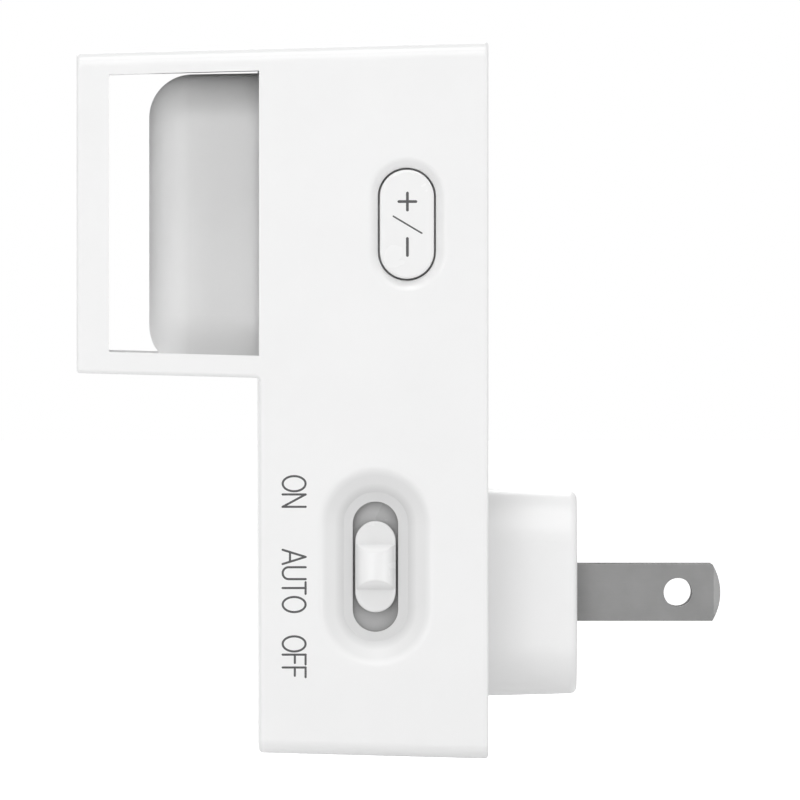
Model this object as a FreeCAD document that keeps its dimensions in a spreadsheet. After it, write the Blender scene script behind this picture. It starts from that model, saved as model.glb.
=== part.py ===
import FreeCAD, Part
import Sketcher
import math
import os

# Plug-in night light with a side slide switch and a brightness button.
# Frame: origin on the plug boss's end face, midway between the blades.
# +X points into the wall, +Z up, and the control side faces -Y.

doc = FreeCAD.newDocument("night_light")
sheet = doc.addObject("Spreadsheet::Sheet", "size")

DRIVING_SIZES = {
    # Housing shell, drafted towards the front on all four sides
    "housing_width": 50.0,
    "top_height": 61.33,
    "bottom_drop": 18.27,
    "housing_depth": 45.7,
    "body_depth": 25.45,
    "hood_underside": 24.0,
    "draft": 1.5,
    "wall": 2.55,
    "top_edge_radius": 1.7,
    "bottom_edge_radius": 1.5,
    "front_edge_radius": 0.35,
    "under_edge_radius": 0.45,
    "inner_corner_radius": 0.4,
    "back_edge_radius": 0.4,
    # Side windows of the hood
    "rail_height": 2.45,
    "front_rail": 3.6,
    # Diffuser dome and its flange behind the front wall
    "dome_reach": 12.15,
    "dome_inset": 6.5,
    "dome_top_gap": 0.2,
    "dome_rise": 0.73,
    "dome_corner": 6.0,
    "dome_edge": 4.8,
    "dome_draft": 1.0,
    "dome_wall": 1.6,
    "dome_port_gap": 0.15,
    "flange_thickness": 1.5,
    "flange_lip": 1.8,
    # Reflector funnel between the flange and the light board
    "reflector_depth": 4.4,
    "reflector_wall": 1.2,
    "reflector_throat_width": 24.0,
    "reflector_throat_height": 22.0,
    "reflector_corner": 3.0,
    # Plug boss on the rear cover
    "boss_length": 10.0,
    "boss_width": 27.0,
    "boss_height": 23.0,
    "boss_corner": 5.5,
    "boss_edge": 0.8,
    "boss_wall": 2.4,
    "boss_end_wall": 2.5,
    # Flat blades of a two-pole plug
    "blade_height": 6.35,
    "blade_thickness": 1.52,
    "blade_spacing": 12.7,
    "blade_reach": 16.02,
    "blade_tip_radius": 6.05,
    "blade_hole_diameter": 3.2,
    "blade_hole_distance": 11.3,
    "blade_bevel_length": 0.75,
    "blade_bevel_depth": 0.3,
    "blade_shoulder_height": 9.5,
    "blade_shoulder_length": 1.5,
    "blade_tail_height": 2.4,
    "blade_tail_overhang": 0.8,
    "blade_slot_gap": 0.1,
    "holder_length": 4.0,
    # Rear cover and the screw pillars it seats on
    "cover_thickness": 2.5,
    "cover_gap": 0.15,
    "pillar_diameter": 5.5,
    "pillar_inset": 2.7,
    "pillar_length": 11.5,
    "screw_diameter": 2.2,
    "screw_length": 9.0,
    "screw_head_diameter": 4.0,
    "screw_head_height": 1.2,
    "screw_gap": 0.1,
    "screw_clearance": 0.2,
    # Brightness button
    "button_from_back": 9.05,
    "button_level": 41.06,
    "button_length": 12.1,
    "button_width": 6.0,
    "button_gap": 0.23,
    "button_proud": 0.12,
    "button_edge": 0.3,
    "button_flange_lip": 1.2,
    "button_flange_thickness": 0.8,
    "button_dish_margin": 0.95,
    "button_dish_depth": 0.7,
    "button_dish_edge": 0.9,
    "button_dish_lap": 0.4,
    "button_travel": 0.35,
    # Slide switch knob, its slot and the dish round it
    "switch_from_back": 12.53,
    "switch_level": 3.05,
    "slot_length": 14.47,
    "slot_width": 5.05,
    "ledge_margin": 1.06,
    "dish_margin": 2.56,
    "dish_depth": 1.45,
    "dish_edge": 1.3,
    "knob_length": 10.15,
    "knob_width": 4.5,
    "knob_land": 0.5,
    "grip_length": 5.0,
    "grip_rise": 1.0,
    "knob_edge": 0.15,
    "shutter_thickness": 0.8,
    "shutter_lap": 1.4,
    "shutter_gap": 0.2,
    "switch_travel": 2.0,
    # Control board behind the side wall, with its two switches
    "board_thickness": 1.6,
    "control_board_inset": 8.8,
    "control_board_top": 47.0,
    "control_board_bottom": -8.5,
    "control_board_step": 14.5,
    "control_board_back": 4.5,
    "control_board_upper_inset": 14.85,
    "control_board_lower_inset": 10.45,
    "switch_body_length": 12.7,
    "switch_body_width": 6.6,
    "switch_body_height": 3.6,
    "lever_length": 2.2,
    "lever_width": 1.6,
    "lever_engagement": 1.2,
    "lever_root": 1.0,
    "lever_gap": 0.1,
    "tact_body_side": 6.0,
    "tact_body_height": 3.5,
    "plunger_diameter": 3.4,
    "plunger_height": 1.0,
    "plunger_gap": 0.15,
    "post_diameter": 4.0,
    "upper_post_from_back": 9.0,
    "upper_post_level": 26.0,
    "lower_post_from_back": 6.3,
    "lower_post_level": -5.2,
    "board_screw_diameter": 1.6,
    "board_screw_length": 5.0,
    "board_screw_head": 3.2,
    "board_screw_head_height": 1.0,
    # Light board, its light sources and the photocell
    "light_board_thickness": 1.2,
    "light_board_width": 28.0,
    "light_board_bottom": 4.0,
    "light_board_top_gap": 0.6,
    "light_rows": 3,
    "light_pitch": 7.0,
    "light_side": 2.8,
    "light_height": 0.8,
    "light_post_spacing": 20.0,
    "light_post_level": 18.5,
    "board_stop_drop": 3.2,
    "board_stop_thickness": 1.2,
    "board_stop_width": 16.0,
    "sensor_level": 8.5,
    "sensor_lens_diameter": 5.0,
    "sensor_lens_gap": 0.1,
    "sensor_flange_diameter": 7.0,
    "sensor_flange_thickness": 0.8,
    "photocell_diameter": 4.3,
    # Power board on the rear cover
    "power_board_level": 17.0,
    "power_board_left_inset": 11.5,
    "power_board_right_inset": 4.5,
    "power_board_top": 22.0,
    "power_board_bottom": -10.0,
    "cover_post_diameter": 4.5,
    "cover_post_inset": 3.5,
    "cover_post_height": 18.5,
    "capacitor_diameter": 7.6,
    "capacitor_length": 11.5,
    "capacitor_edge": 0.5,
    "capacitor_crimp": 0.35,
    "capacitor_crimp_height": 1.6,
    "film_width": 12.5,
    "film_thickness": 5.6,
    "film_length": 10.5,
    "film_edge": 0.8,
    "part_spacing": 6.2,
    "rectifier_side": 5.0,
    "rectifier_height": 2.4,
    "chip_length": 5.0,
    "chip_width": 4.0,
    "chip_height": 1.6,
    "chip_legs": 4,
    "rectifier_legs": 2,
    "leg_width": 0.5,
    "leg_thickness": 0.25,
    "leg_reach": 0.9,
    "leg_lift": 0.15,
    "resistor_diameter": 3.2,
    "resistor_length": 9.0,
    "resistor_inset": 1.0,
    "resistor_cap_length": 2.0,
    "resistor_cap_rise": 0.2,
    "header_width": 2.5,
    "header_height": 2.5,
    "header_pins": 4,
    "header_pitch": 2.0,
    "header_pin_side": 0.6,
    "header_level": 9.0,
    "light_lead_diameter": 0.8,
    "light_lead_spacing": 4.0,
    "light_lead_level": 12.5,
}

for row, (alias, value) in enumerate(DRIVING_SIZES.items(), start=1):
    sheet.set(f"A{row}", alias)
    sheet.set(f"B{row}", str(value))
    sheet.setAlias(f"B{row}", alias)
doc.recompute()


V = FreeCAD.Vector
ALONG_X = V(1, 0, 0)
ALONG_Y = V(0, 1, 0)
ALONG_Z = V(0, 0, 1)
HAIR = 0.02
nodes = []


def number(expression):
    """Current value of an expression over the sheet."""
    value = sheet.evalExpression(expression)
    return float(getattr(value, "Value", value))


# Levels that several pieces share, as expressions over the sheet
BACK = "(-size.boss_length)"
HOOD_FRONT = "(-size.boss_length - size.housing_depth)"
BODY_FRONT = "(-size.boss_length - size.body_depth)"
CAVITY_FRONT = f"({BODY_FRONT} + size.wall)"
COVER_INNER = f"({BACK} - size.cover_thickness)"
FLANGE_BACK = f"({CAVITY_FRONT} + size.flange_thickness)"
LIGHT_BOARD_FRONT = f"({FLANGE_BACK} + size.reflector_depth)"
LIGHT_BOARD_BACK = f"({LIGHT_BOARD_FRONT} + size.light_board_thickness)"
POWER_BOARD_BACK = "(-size.power_board_level)"
POWER_BOARD_FRONT = "(-size.power_board_level - size.board_thickness)"
POWER_LEFT = "(size.housing_width / 2 - size.power_board_left_inset)"
POWER_RIGHT = "(size.housing_width / 2 - size.power_board_right_inset)"
COVER_POST_LEFT = f"({POWER_LEFT} - size.cover_post_inset)"
COVER_POST_RIGHT = f"({POWER_RIGHT} - size.cover_post_inset)"
CONTROL_LEVEL = "(size.housing_width / 2 - size.control_board_inset)"
DOME_WIDTH = "(size.housing_width - 2 * size.dome_inset)"
BUTTON_X = f"({BACK} - size.button_from_back)"
SWITCH_X = f"({BACK} - size.switch_from_back)"
NARROWING = "tan(size.draft)"
DOME_BOTTOM = "(size.hood_underside + size.dome_rise)"
BLADE_SIDE = "(size.blade_spacing / 2)"
PILLAR_SIDE = "(size.housing_width / 2 - size.wall - size.pillar_inset)"
PILLAR_TOP = "(size.top_height - size.wall - size.pillar_inset)"
PILLAR_BOTTOM = "(-size.bottom_drop + size.wall + size.pillar_inset)"


def ceiling(along):
    """Underside of the top wall at a place along X."""
    return f"(size.top_height - size.wall - ({BACK} - ({along})) * {NARROWING})"


def hood_floor(along):
    """Underside of the hood at a place along X."""
    return f"(size.hood_underside + ({BODY_FRONT} - ({along})) * {NARROWING})"


def side_face(along):
    """Half width of the housing at a place along X."""
    return f"(size.housing_width / 2 - ({BACK} - ({along})) * {NARROWING})"


DOME_TOP = f"({ceiling(BODY_FRONT)} - size.dome_top_gap)"
DOME_LEVEL = f"(({DOME_TOP} + {DOME_BOTTOM}) / 2)"
DOME_HEIGHT = f"({DOME_TOP} - {DOME_BOTTOM})"
BAY_WIDTH = f"(2 * ({side_face(HOOD_FRONT)} - size.wall))"
BUTTON_FACE = side_face(BUTTON_X)
SWITCH_FACE = side_face(SWITCH_X)
BUTTON_WALL = f"({BUTTON_FACE} - size.wall)"
SWITCH_WALL = f"({SWITCH_FACE} - size.wall)"
KNOB_LAND = f"({SWITCH_FACE} - size.dish_depth + size.knob_land)"
SHUTTER_OUTER = f"({SWITCH_WALL} - size.shutter_gap)"
FLANGE_OUTER = f"({BUTTON_WALL} - size.shutter_gap)"


# Document helpers
def new_body(label):
    """A sub-part as a body; its label names the node."""
    body = doc.addObject("PartDesign::Body", label)
    body.Label = label
    body.AllowCompound = True
    nodes.append(body)
    return body


def sketch_on(body, role, offset):
    """A sketch on one of the body's origin planes, moved along the plane's normal."""
    sketch = body.newObject("Sketcher::SketchObject", f"{body.Name}_outline")
    plane = [one for one in body.Origin.OriginFeatures if one.Role == role][0]
    sketch.AttachmentSupport = [(plane, "")]
    sketch.MapMode = "FlatFace"
    sketch.setExpression("AttachmentOffset.Base.z", offset)
    return sketch


def pin_down(sketch, shape, point, across, up):
    """Bind one point of a sketch element to two expressions."""
    for kind, expression in (("DistanceX", across), ("DistanceY", up)):
        index = sketch.addConstraint(Sketcher.Constraint(kind, -1, 1, shape, point, number(expression)))
        sketch.setExpression(f"Constraints[{index}]", expression)


def set_radius(sketch, shape, radius):
    index = sketch.addConstraint(Sketcher.Constraint("Radius", shape, number(radius)))
    sketch.setExpression(f"Constraints[{index}]", radius)


def polygon(body, role, offset, corners):
    """Closed outline of straight edges through expression-bound corners."""
    sketch = sketch_on(body, role, offset)
    places = [V(number(across), number(up), 0) for across, up in corners]
    for start, end in zip(places, places[1:] + places[:1]):
        sketch.addGeometry(Part.LineSegment(start, end), False)
    for index, (across, up) in enumerate(corners):
        following = (index + 1) % len(corners)
        sketch.addConstraint(Sketcher.Constraint("Coincident", index, 2, following, 1))
        pin_down(sketch, index, 1, across, up)
    return sketch


def rectangle(body, role, offset, low, high):
    """Rectangle between two corners."""
    corners = [(low[0], low[1]), (high[0], low[1]), (high[0], high[1]), (low[0], high[1])]
    return polygon(body, role, offset, corners)


def circles(body, role, offset, centres, diameter):
    """Equal circles at several centres."""
    sketch = sketch_on(body, role, offset)
    draw_circles(sketch, centres, diameter)
    return sketch


def draw_circles(sketch, centres, diameter):
    radius = f"({diameter}) / 2"
    for across, up in centres:
        ring = Part.Circle(V(number(across), number(up), 0), V(0, 0, 1), number(radius))
        index = sketch.addGeometry(ring, False)
        pin_down(sketch, index, 3, across, up)
        set_radius(sketch, index, radius)


def rounded(body, role, offset, centre, width, height, corner):
    """Rectangle with tangent corner arcs; a stadium where the corner is half the width."""
    sketch = sketch_on(body, role, offset)
    draw_rounded(sketch, centre, width, height, corner)
    return sketch


def draw_rounded(sketch, centre, width, height, corner):
    quarter = math.pi / 2
    arcs = []
    centres = []
    for turn, (right, top) in enumerate(((1, 1), (-1, 1), (-1, -1), (1, -1))):
        across = f"({centre[0]}) + {right} * (({width}) / 2 - ({corner}))"
        up = f"({centre[1]}) + {top} * (({height}) / 2 - ({corner}))"
        circle = Part.Circle(V(number(across), number(up), 0), V(0, 0, 1), number(corner))
        arc = Part.ArcOfCircle(circle, turn * quarter, (turn + 1) * quarter)
        arcs.append(sketch.addGeometry(arc, False))
        centres.append((across, up))
    for index, arc in enumerate(arcs):
        following = arcs[(index + 1) % len(arcs)]
        begin = sketch.getPoint(arc, 2)
        end = sketch.getPoint(following, 1)
        line = sketch.addGeometry(Part.LineSegment(begin, end), False)
        sketch.addConstraint(Sketcher.Constraint("Tangent", arc, 2, line, 1))
        sketch.addConstraint(Sketcher.Constraint("Tangent", line, 2, following, 1))
    for arc, (across, up) in zip(arcs, centres):
        pin_down(sketch, arc, 3, across, up)
        set_radius(sketch, arc, corner)


def stadium(body, role, offset, centre, width, height):
    """Upright slot outline: straight sides and half-round ends."""
    sketch = sketch_on(body, role, offset)
    draw_stadium(sketch, centre, width, height)
    return sketch


def draw_stadium(sketch, centre, width, height):
    radius = f"(({width}) / 2)"
    reach = f"((({height}) - ({width})) / 2)"
    across = centre[0]
    ups = [f"({centre[1]}) + {reach}", f"({centre[1]}) - {reach}"]
    arcs = []
    for turn, up in enumerate(ups):
        circle = Part.Circle(V(number(across), number(up), 0), V(0, 0, 1), number(radius))
        arc = Part.ArcOfCircle(circle, turn * math.pi, (turn + 1) * math.pi)
        arcs.append(sketch.addGeometry(arc, False))
    for index, arc in enumerate(arcs):
        following = arcs[1 - index]
        begin = sketch.getPoint(arc, 2)
        line = sketch.addGeometry(Part.LineSegment(begin, sketch.getPoint(following, 1)), False)
        sketch.addConstraint(Sketcher.Constraint("Tangent", arc, 2, line, 1))
        sketch.addConstraint(Sketcher.Constraint("Tangent", line, 2, following, 1))
    for arc, up in zip(arcs, ups):
        pin_down(sketch, arc, 3, across, up)
        set_radius(sketch, arc, radius)


def volume_of(body):
    tip = body.Tip
    if tip is None or tip.Shape.isNull():
        return 0.0
    return tip.Shape.Volume


def extrude(body, kind, sketch, length, backwards=False, both=False, narrowing=None):
    """Pad or pocket a sketch and compare the volume before and after."""
    doc.recompute()
    before = volume_of(body)
    feature = body.newObject(f"PartDesign::{kind}", f"{body.Name}_{kind.lower()}")
    feature.Profile = sketch
    feature.Reversed = backwards
    if both:
        feature.SideType = "Symmetric"
    if length is None:
        feature.Type = "ThroughAll"
    else:
        feature.setExpression("Length", length)
    if narrowing is not None:
        feature.setExpression("TaperAngle", f"-({narrowing})")
    doc.recompute()
    after = feature.Shape.Volume
    if (kind == "Pad") != (after > before) or after == before:
        raise RuntimeError(f"{feature.Name} changed the volume from {before} to {after}")
    return feature


def pad(body, sketch, length, **options):
    return extrude(body, "Pad", sketch, length, **options)


def pocket(body, sketch, length=None, **options):
    return extrude(body, "Pocket", sketch, length, **options)


def wedge(body, kind, near, near_corners, far, far_corners):
    """Block with flat sloping sides between a rectangle nearer the wall and one further from it."""
    before = volume_of(body)
    feature = body.newObject(f"PartDesign::{kind}Wedge", f"{body.Name}_{kind.lower()}_block")
    feature.Placement = FreeCAD.Placement(V(0, 0, 0), FreeCAD.Rotation(ALONG_X, ALONG_Y))
    feature.setExpression("Ymin", f"-({near})")
    feature.setExpression("Ymax", f"-({far})")
    for mark, (low, high) in (("", near_corners), ("2", far_corners)):
        for letter, bottom, top in zip("XZ", low, high):
            feature.setExpression(f"{letter}{mark}min", bottom)
            feature.setExpression(f"{letter}{mark}max", top)
    doc.recompute()
    after = feature.Shape.Volume
    if (kind == "Additive") != (after > before) or after == before:
        raise RuntimeError(f"{feature.Name} changed the volume from {before} to {after}")
    return feature


def drafted_block(body, kind, wide, narrow, low, high, draft):
    """Block whose four sides lean in by the draft from its wide end to its narrow end."""
    inset = f"(abs(({wide}) - ({narrow})) * tan({draft}))"
    inner_low = [f"{place} + {inset}" for place in low]
    inner_high = [f"{place} - {inset}" for place in high]
    ends = [(wide, (low, high)), (narrow, (inner_low, inner_high))]
    if number(wide) < number(narrow):
        ends.reverse()
    (near, near_corners), (far, far_corners) = ends
    return wedge(body, kind, near, near_corners, far, far_corners)


def round_edges(body, radius, chosen):
    """Fillet the edges whose middle point and direction a test accepts."""
    base = body.Tip
    names = []
    for index, edge in enumerate(base.Shape.Edges, start=1):
        if edge.Degenerated:
            continue
        middle = edge.valueAt((edge.FirstParameter + edge.LastParameter) / 2)
        direction = edge.tangentAt((edge.FirstParameter + edge.LastParameter) / 2)
        if chosen(middle, direction):
            names.append(f"Edge{index}")
    if not names:
        raise RuntimeError(f"no edge to round on {body.Name}")
    feature = body.newObject("PartDesign::Fillet", f"{body.Name}_round")
    feature.Base = (base, names)
    feature.setExpression("Radius", radius)
    doc.recompute()
    return feature


def runs_along(direction, axis):
    """True where a direction is within a few degrees of an axis."""
    closeness = 0.99
    return abs(direction.dot(axis)) > closeness


def box(name, low, high):
    """Box between two corners given as expressions."""
    piece = doc.addObject("Part::Box", name)
    for letter, side, bottom, top in zip("xyz", ("Length", "Width", "Height"), low, high):
        piece.setExpression(f"Placement.Base.{letter}", bottom)
        piece.setExpression(side, f"({top}) - ({bottom})")
    return piece


def rod(name, start, axis, diameter, length):
    """Round bar from a start point along a world axis."""
    piece = doc.addObject("Part::Cylinder", name)
    turned = FreeCAD.Rotation(ALONG_Z, axis)
    piece.Placement = FreeCAD.Placement(V(0, 0, 0), turned)
    for letter, place in zip("xyz", start):
        piece.setExpression(f"Placement.Base.{letter}", place)
    piece.setExpression("Radius", f"({diameter}) / 2")
    piece.setExpression("Height", length)
    return piece


def fused(name, pieces):
    joined = doc.addObject("Part::MultiFuse", name)
    joined.Shapes = pieces
    return joined


def group(label, pieces):
    """Several equal separate solids in one node."""
    gathered = doc.addObject("Part::Compound", label)
    gathered.Links = pieces
    gathered.Label = label
    nodes.append(gathered)
    return gathered


def node(label, piece):
    piece.Label = label
    nodes.append(piece)
    return piece


def screw(name, seat, axis, head, head_height, shank, length):
    """Screw whose head rests on its seat and whose shank runs along the axis."""
    outward = [f"({place}) - ({head_height}) * {value}" for place, value in zip(seat, axis)]
    cap = rod(f"{name}_head", outward, axis, head, head_height)
    stem = rod(f"{name}_shank", seat, axis, shank, length)
    return fused(name, [cap, stem])


# Front housing: an L-shaped moulded shell with a hood that is open below
housing = new_body("front_housing")
drafted_block(
    housing,
    "Additive",
    BACK,
    HOOD_FRONT,
    ("-size.housing_width / 2", "-size.bottom_drop"),
    ("size.housing_width / 2", "size.top_height"),
    "size.draft",
)

beyond = f"({HOOD_FRONT} - size.wall)"
under = "(-size.bottom_drop - size.wall)"


def undercut(body):
    """Waste below the hood and in front of the body, with a rounded inner corner."""
    sketch = sketch_on(body, "XZ_Plane", "0")
    radius = "size.inner_corner_radius"
    bend_up = f"({hood_floor(BODY_FRONT)} + {radius} * {NARROWING} - {radius} / cos(size.draft))"
    middle = V(number(f"{BODY_FRONT} - {radius}"), number(bend_up), 0)
    circle = Part.Circle(middle, V(0, 0, 1), number(radius))
    arc = Part.ArcOfCircle(circle, 0, math.pi / 2 - math.radians(number("size.draft")))
    sketch.addGeometry(arc, False)
    out_top = V(number(beyond), number(hood_floor(beyond)), 0)
    out_bottom = V(number(beyond), number(under), 0)
    foot = V(number(BODY_FRONT), number(under), 0)
    places = [sketch.getPoint(0, 2), out_top, out_bottom, foot, sketch.getPoint(0, 1)]
    for start, end in zip(places, places[1:]):
        sketch.addGeometry(Part.LineSegment(start, end), False)
    sketch.addConstraint(Sketcher.Constraint("Tangent", 0, 2, 1, 1))
    for line in (1, 2, 3):
        sketch.addConstraint(Sketcher.Constraint("Coincident", line, 2, line + 1, 1))
    sketch.addConstraint(Sketcher.Constraint("Tangent", 4, 2, 0, 1))
    pin_down(sketch, 1, 2, beyond, hood_floor(beyond))
    pin_down(sketch, 2, 2, beyond, under)
    pin_down(sketch, 3, 2, BODY_FRONT, under)
    pin_down(sketch, 0, 3, f"{BODY_FRONT} - {radius}", bend_up)
    set_radius(sketch, 0, radius)
    return sketch


pocket(housing, undercut(housing), both=True)

# Rounded edges: each chosen edge runs on round the tangent corners next to it
top_z = number("size.top_height")
bottom_z = number("-size.bottom_drop")
back_x = number(BACK)
body_x = number(BODY_FRONT)
hood_x = number(HOOD_FRONT)
slope = number(NARROWING)
top_band = number("size.housing_depth") * slope + HAIR
bottom_band = number("size.body_depth") * slope + HAIR
round_edges(
    housing,
    "size.top_edge_radius",
    lambda at, way: runs_along(way, ALONG_X) and at.z > top_z - top_band,
)
round_edges(
    housing,
    "size.bottom_edge_radius",
    lambda at, way: runs_along(way, ALONG_X) and at.z < bottom_z + bottom_band,
)
round_edges(
    housing,
    "size.under_edge_radius",
    lambda at, way: abs(at.x - body_x) < HAIR and at.z < bottom_z + bottom_band,
)
round_edges(housing, "size.front_edge_radius", lambda at, way: at.x < hood_x + HAIR)
round_edges(housing, "size.back_edge_radius", lambda at, way: at.x > back_x - HAIR)

# Cavity from the back, drafted like the outside
drafted_block(
    housing,
    "Subtractive",
    BACK,
    CAVITY_FRONT,
    ("-size.housing_width / 2 + size.wall", "-size.bottom_drop + size.wall"),
    ("size.housing_width / 2 - size.wall", "size.top_height - size.wall"),
    "size.draft",
)

# Hood bay round the diffuser, open below between the side rails
bay_front = f"({HOOD_FRONT} + size.wall)"
outline = polygon(
    housing,
    "XZ_Plane",
    "0",
    [
        (bay_front, ceiling(bay_front)),
        (BODY_FRONT, ceiling(BODY_FRONT)),
        (BODY_FRONT, "size.hood_underside - size.wall"),
        (bay_front, "size.hood_underside - size.wall"),
    ],
)
pocket(housing, outline, BAY_WIDTH, both=True)

# Windows through both side panels, with a rail in front and below
window_front = f"({HOOD_FRONT} + size.front_rail)"
outline = polygon(
    housing,
    "XZ_Plane",
    "0",
    [
        (window_front, ceiling(window_front)),
        (BODY_FRONT, ceiling(BODY_FRONT)),
        (BODY_FRONT, f"{hood_floor(BODY_FRONT)} + size.rail_height"),
        (window_front, f"{hood_floor(window_front)} + size.rail_height"),
    ],
)
pocket(housing, outline, both=True)

# Port in the body's front wall that the dome passes through
port_floor = f"({DOME_BOTTOM} - size.dome_port_gap)"
outline = polygon(
    housing,
    "XZ_Plane",
    "0",
    [
        (BODY_FRONT, ceiling(BODY_FRONT)),
        (CAVITY_FRONT, ceiling(CAVITY_FRONT)),
        (CAVITY_FRONT, port_floor),
        (BODY_FRONT, port_floor),
    ],
)
pocket(housing, outline, f"{DOME_WIDTH} + 2 * size.dome_port_gap", both=True)

# Corner pillars that the rear cover seats on, with pilot holes
pillar_places = []
for side in ("", "-"):
    for level in (PILLAR_BOTTOM, PILLAR_TOP):
        pillar_places.append((f"{side}{PILLAR_SIDE}", level))
outline = circles(housing, "YZ_Plane", COVER_INNER, pillar_places, "size.pillar_diameter")
pad(housing, outline, "size.pillar_length", backwards=True)
outline = circles(housing, "YZ_Plane", COVER_INNER, pillar_places, "size.screw_diameter + 2 * size.screw_gap")
pocket(housing, outline, "size.screw_length")

# Posts on the control side wall for the control board
control_posts = [
    (f"{BACK} - size.upper_post_from_back", "size.upper_post_level"),
    (f"{BACK} - size.lower_post_from_back", "size.lower_post_level"),
]
pilot = "size.board_screw_diameter + 2 * size.screw_gap"
outline = circles(housing, "XZ_Plane", CONTROL_LEVEL, control_posts, "size.post_diameter")
pad(housing, outline, f"size.housing_width / 2 - size.wall / 2 - {CONTROL_LEVEL}")
outline = circles(housing, "XZ_Plane", CONTROL_LEVEL, control_posts, pilot)
pocket(housing, outline, "size.board_screw_length", backwards=True)

# Posts on the front wall for the light board, and a stop above it
light_posts = [
    ("size.light_post_spacing / 2", "size.light_post_level"),
    ("-size.light_post_spacing / 2", "size.light_post_level"),
]
outline = circles(housing, "YZ_Plane", LIGHT_BOARD_FRONT, light_posts, "size.post_diameter")
pad(housing, outline, f"{LIGHT_BOARD_FRONT} - {CAVITY_FRONT} + size.wall / 2", backwards=True)
outline = circles(housing, "YZ_Plane", LIGHT_BOARD_FRONT, light_posts, pilot)
pocket(housing, outline, "size.board_screw_length")
stop_front = f"({LIGHT_BOARD_BACK} + size.screw_gap)"
stop_back = f"({stop_front} + size.board_stop_thickness)"
outline = rectangle(
    housing,
    "XZ_Plane",
    "0",
    (stop_front, f"{ceiling(stop_front)} - size.board_stop_drop"),
    (stop_back, f"{ceiling(stop_front)} + size.wall / 2"),
)
pad(housing, outline, "size.board_stop_width", both=True)

# Hole in the lower front wall for the light sensor's lens
lens_hole = "size.sensor_lens_diameter + 2 * size.sensor_lens_gap"
outline = circles(housing, "YZ_Plane", CAVITY_FRONT, [("0", "size.sensor_level")], lens_hole)
pocket(housing, outline, "size.wall")

# Openings of the two controls, each in a sloped dish square to the drafted side face
slot_ledge_width = "(size.slot_width + 2 * size.ledge_margin)"
slot_ledge_length = "(size.slot_length + 2 * size.ledge_margin)"


def dish(place, level, face, width, length, margin, depth, edge):
    """Sloped stadium recess with a soft rim, which stands a margin outside its floor."""
    sketch = sketch_on(housing, "XZ_Plane", face)
    sketch.AttachmentOffset = FreeCAD.Placement(V(0, 0, 0), FreeCAD.Rotation(ALONG_Y, -1))
    sketch.setExpression("AttachmentOffset.Base.x", place)
    sketch.setExpression("AttachmentOffset.Base.y", level)
    sketch.setExpression("AttachmentOffset.Base.z", face)
    sketch.setExpression("AttachmentOffset.Rotation.Angle", "-size.draft")
    draw_stadium(sketch, ("0", "0"), f"{width} + 2 * {margin}", f"{length} + 2 * {margin}")
    pocket(housing, sketch, depth, narrowing=f"atan({margin} / {depth})")
    middle = V(number(place), -number(face), number(level))
    outward = V(-slope, -1, 0).normalize()
    reach = number(f"{length} / 2 + {margin}") + HAIR
    round_edges(
        housing,
        edge,
        lambda at, way: abs((at - middle).dot(outward)) < HAIR and (at - middle).Length < reach,
    )


dish(
    SWITCH_X,
    "size.switch_level",
    SWITCH_FACE,
    slot_ledge_width,
    slot_ledge_length,
    "size.dish_margin",
    "size.dish_depth",
    "size.dish_edge",
)
button_hole_width = "(size.button_width + 2 * size.button_gap)"
button_hole_length = "(size.button_length + 2 * size.button_gap)"
dish(
    BUTTON_X,
    "size.button_level",
    BUTTON_FACE,
    f"({button_hole_width} - 2 * size.button_dish_lap)",
    f"({button_hole_length} - 2 * size.button_dish_lap)",
    "(size.button_dish_margin + size.button_dish_lap)",
    "(size.button_dish_depth * (1 + size.button_dish_lap / size.button_dish_margin))",
    "size.button_dish_edge",
)
outline = stadium(
    housing, "XZ_Plane", SHUTTER_OUTER, (SWITCH_X, "size.switch_level"), "size.slot_width", "size.slot_length"
)
pocket(housing, outline, "2 * size.wall", backwards=True)
outline = stadium(
    housing, "XZ_Plane", FLANGE_OUTER, (BUTTON_X, "size.button_level"), button_hole_width, button_hole_length
)
pocket(housing, outline, "2 * size.wall", backwards=True)


# Rear cover: a plate let into the shell's back, carrying the plug boss
cover = new_body("rear_cover")
cover_side = "(size.housing_width / 2 - size.wall - size.cover_gap)"
cover_top = "(size.top_height - size.wall - size.cover_gap)"
cover_bottom = "(-size.bottom_drop + size.wall + size.cover_gap)"
cover_low = (f"-{cover_side}", cover_bottom)
cover_high = (cover_side, cover_top)
drafted_block(cover, "Additive", BACK, COVER_INNER, cover_low, cover_high, "size.draft")
boss_low = ("-size.boss_width / 2", "-size.boss_height / 2")
boss_high = ("size.boss_width / 2", "size.boss_height / 2")
drafted_block(cover, "Additive", BACK, "0", boss_low, boss_high, "size.draft")
round_edges(cover, "size.boss_corner", lambda at, way: runs_along(way, ALONG_X) and at.x > back_x + HAIR)
round_edges(cover, "size.boss_edge", lambda at, way: abs(at.x) < HAIR)

# Well inside the boss for the blade holder, and slots for the blades
well_width = "(size.boss_width - 2 * size.boss_wall)"
well_height = "(size.boss_height - 2 * size.boss_wall)"
well_corner = "(size.boss_corner - size.boss_wall)"
outline = rounded(cover, "YZ_Plane", COVER_INNER, ("0", "0"), well_width, well_height, well_corner)
pocket(cover, outline, f"-size.boss_end_wall - {COVER_INNER}", backwards=True)
slot_half = "(size.blade_thickness / 2 + size.blade_slot_gap)"
slot_reach = "(size.blade_height / 2 + size.blade_slot_gap)"


def blade_slots(body, level, length, **options):
    """Cut the two blade slots from a level along X."""
    for side in ("", "-"):
        centre = f"{side}{BLADE_SIDE}"
        low = (f"{centre} - {slot_half}", f"-{slot_reach}")
        high = (f"{centre} + {slot_half}", slot_reach)
        sketch = rectangle(body, "YZ_Plane", level, low, high)
        pocket(body, sketch, length, **options)


blade_slots(cover, "0", "size.boss_end_wall")

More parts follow.
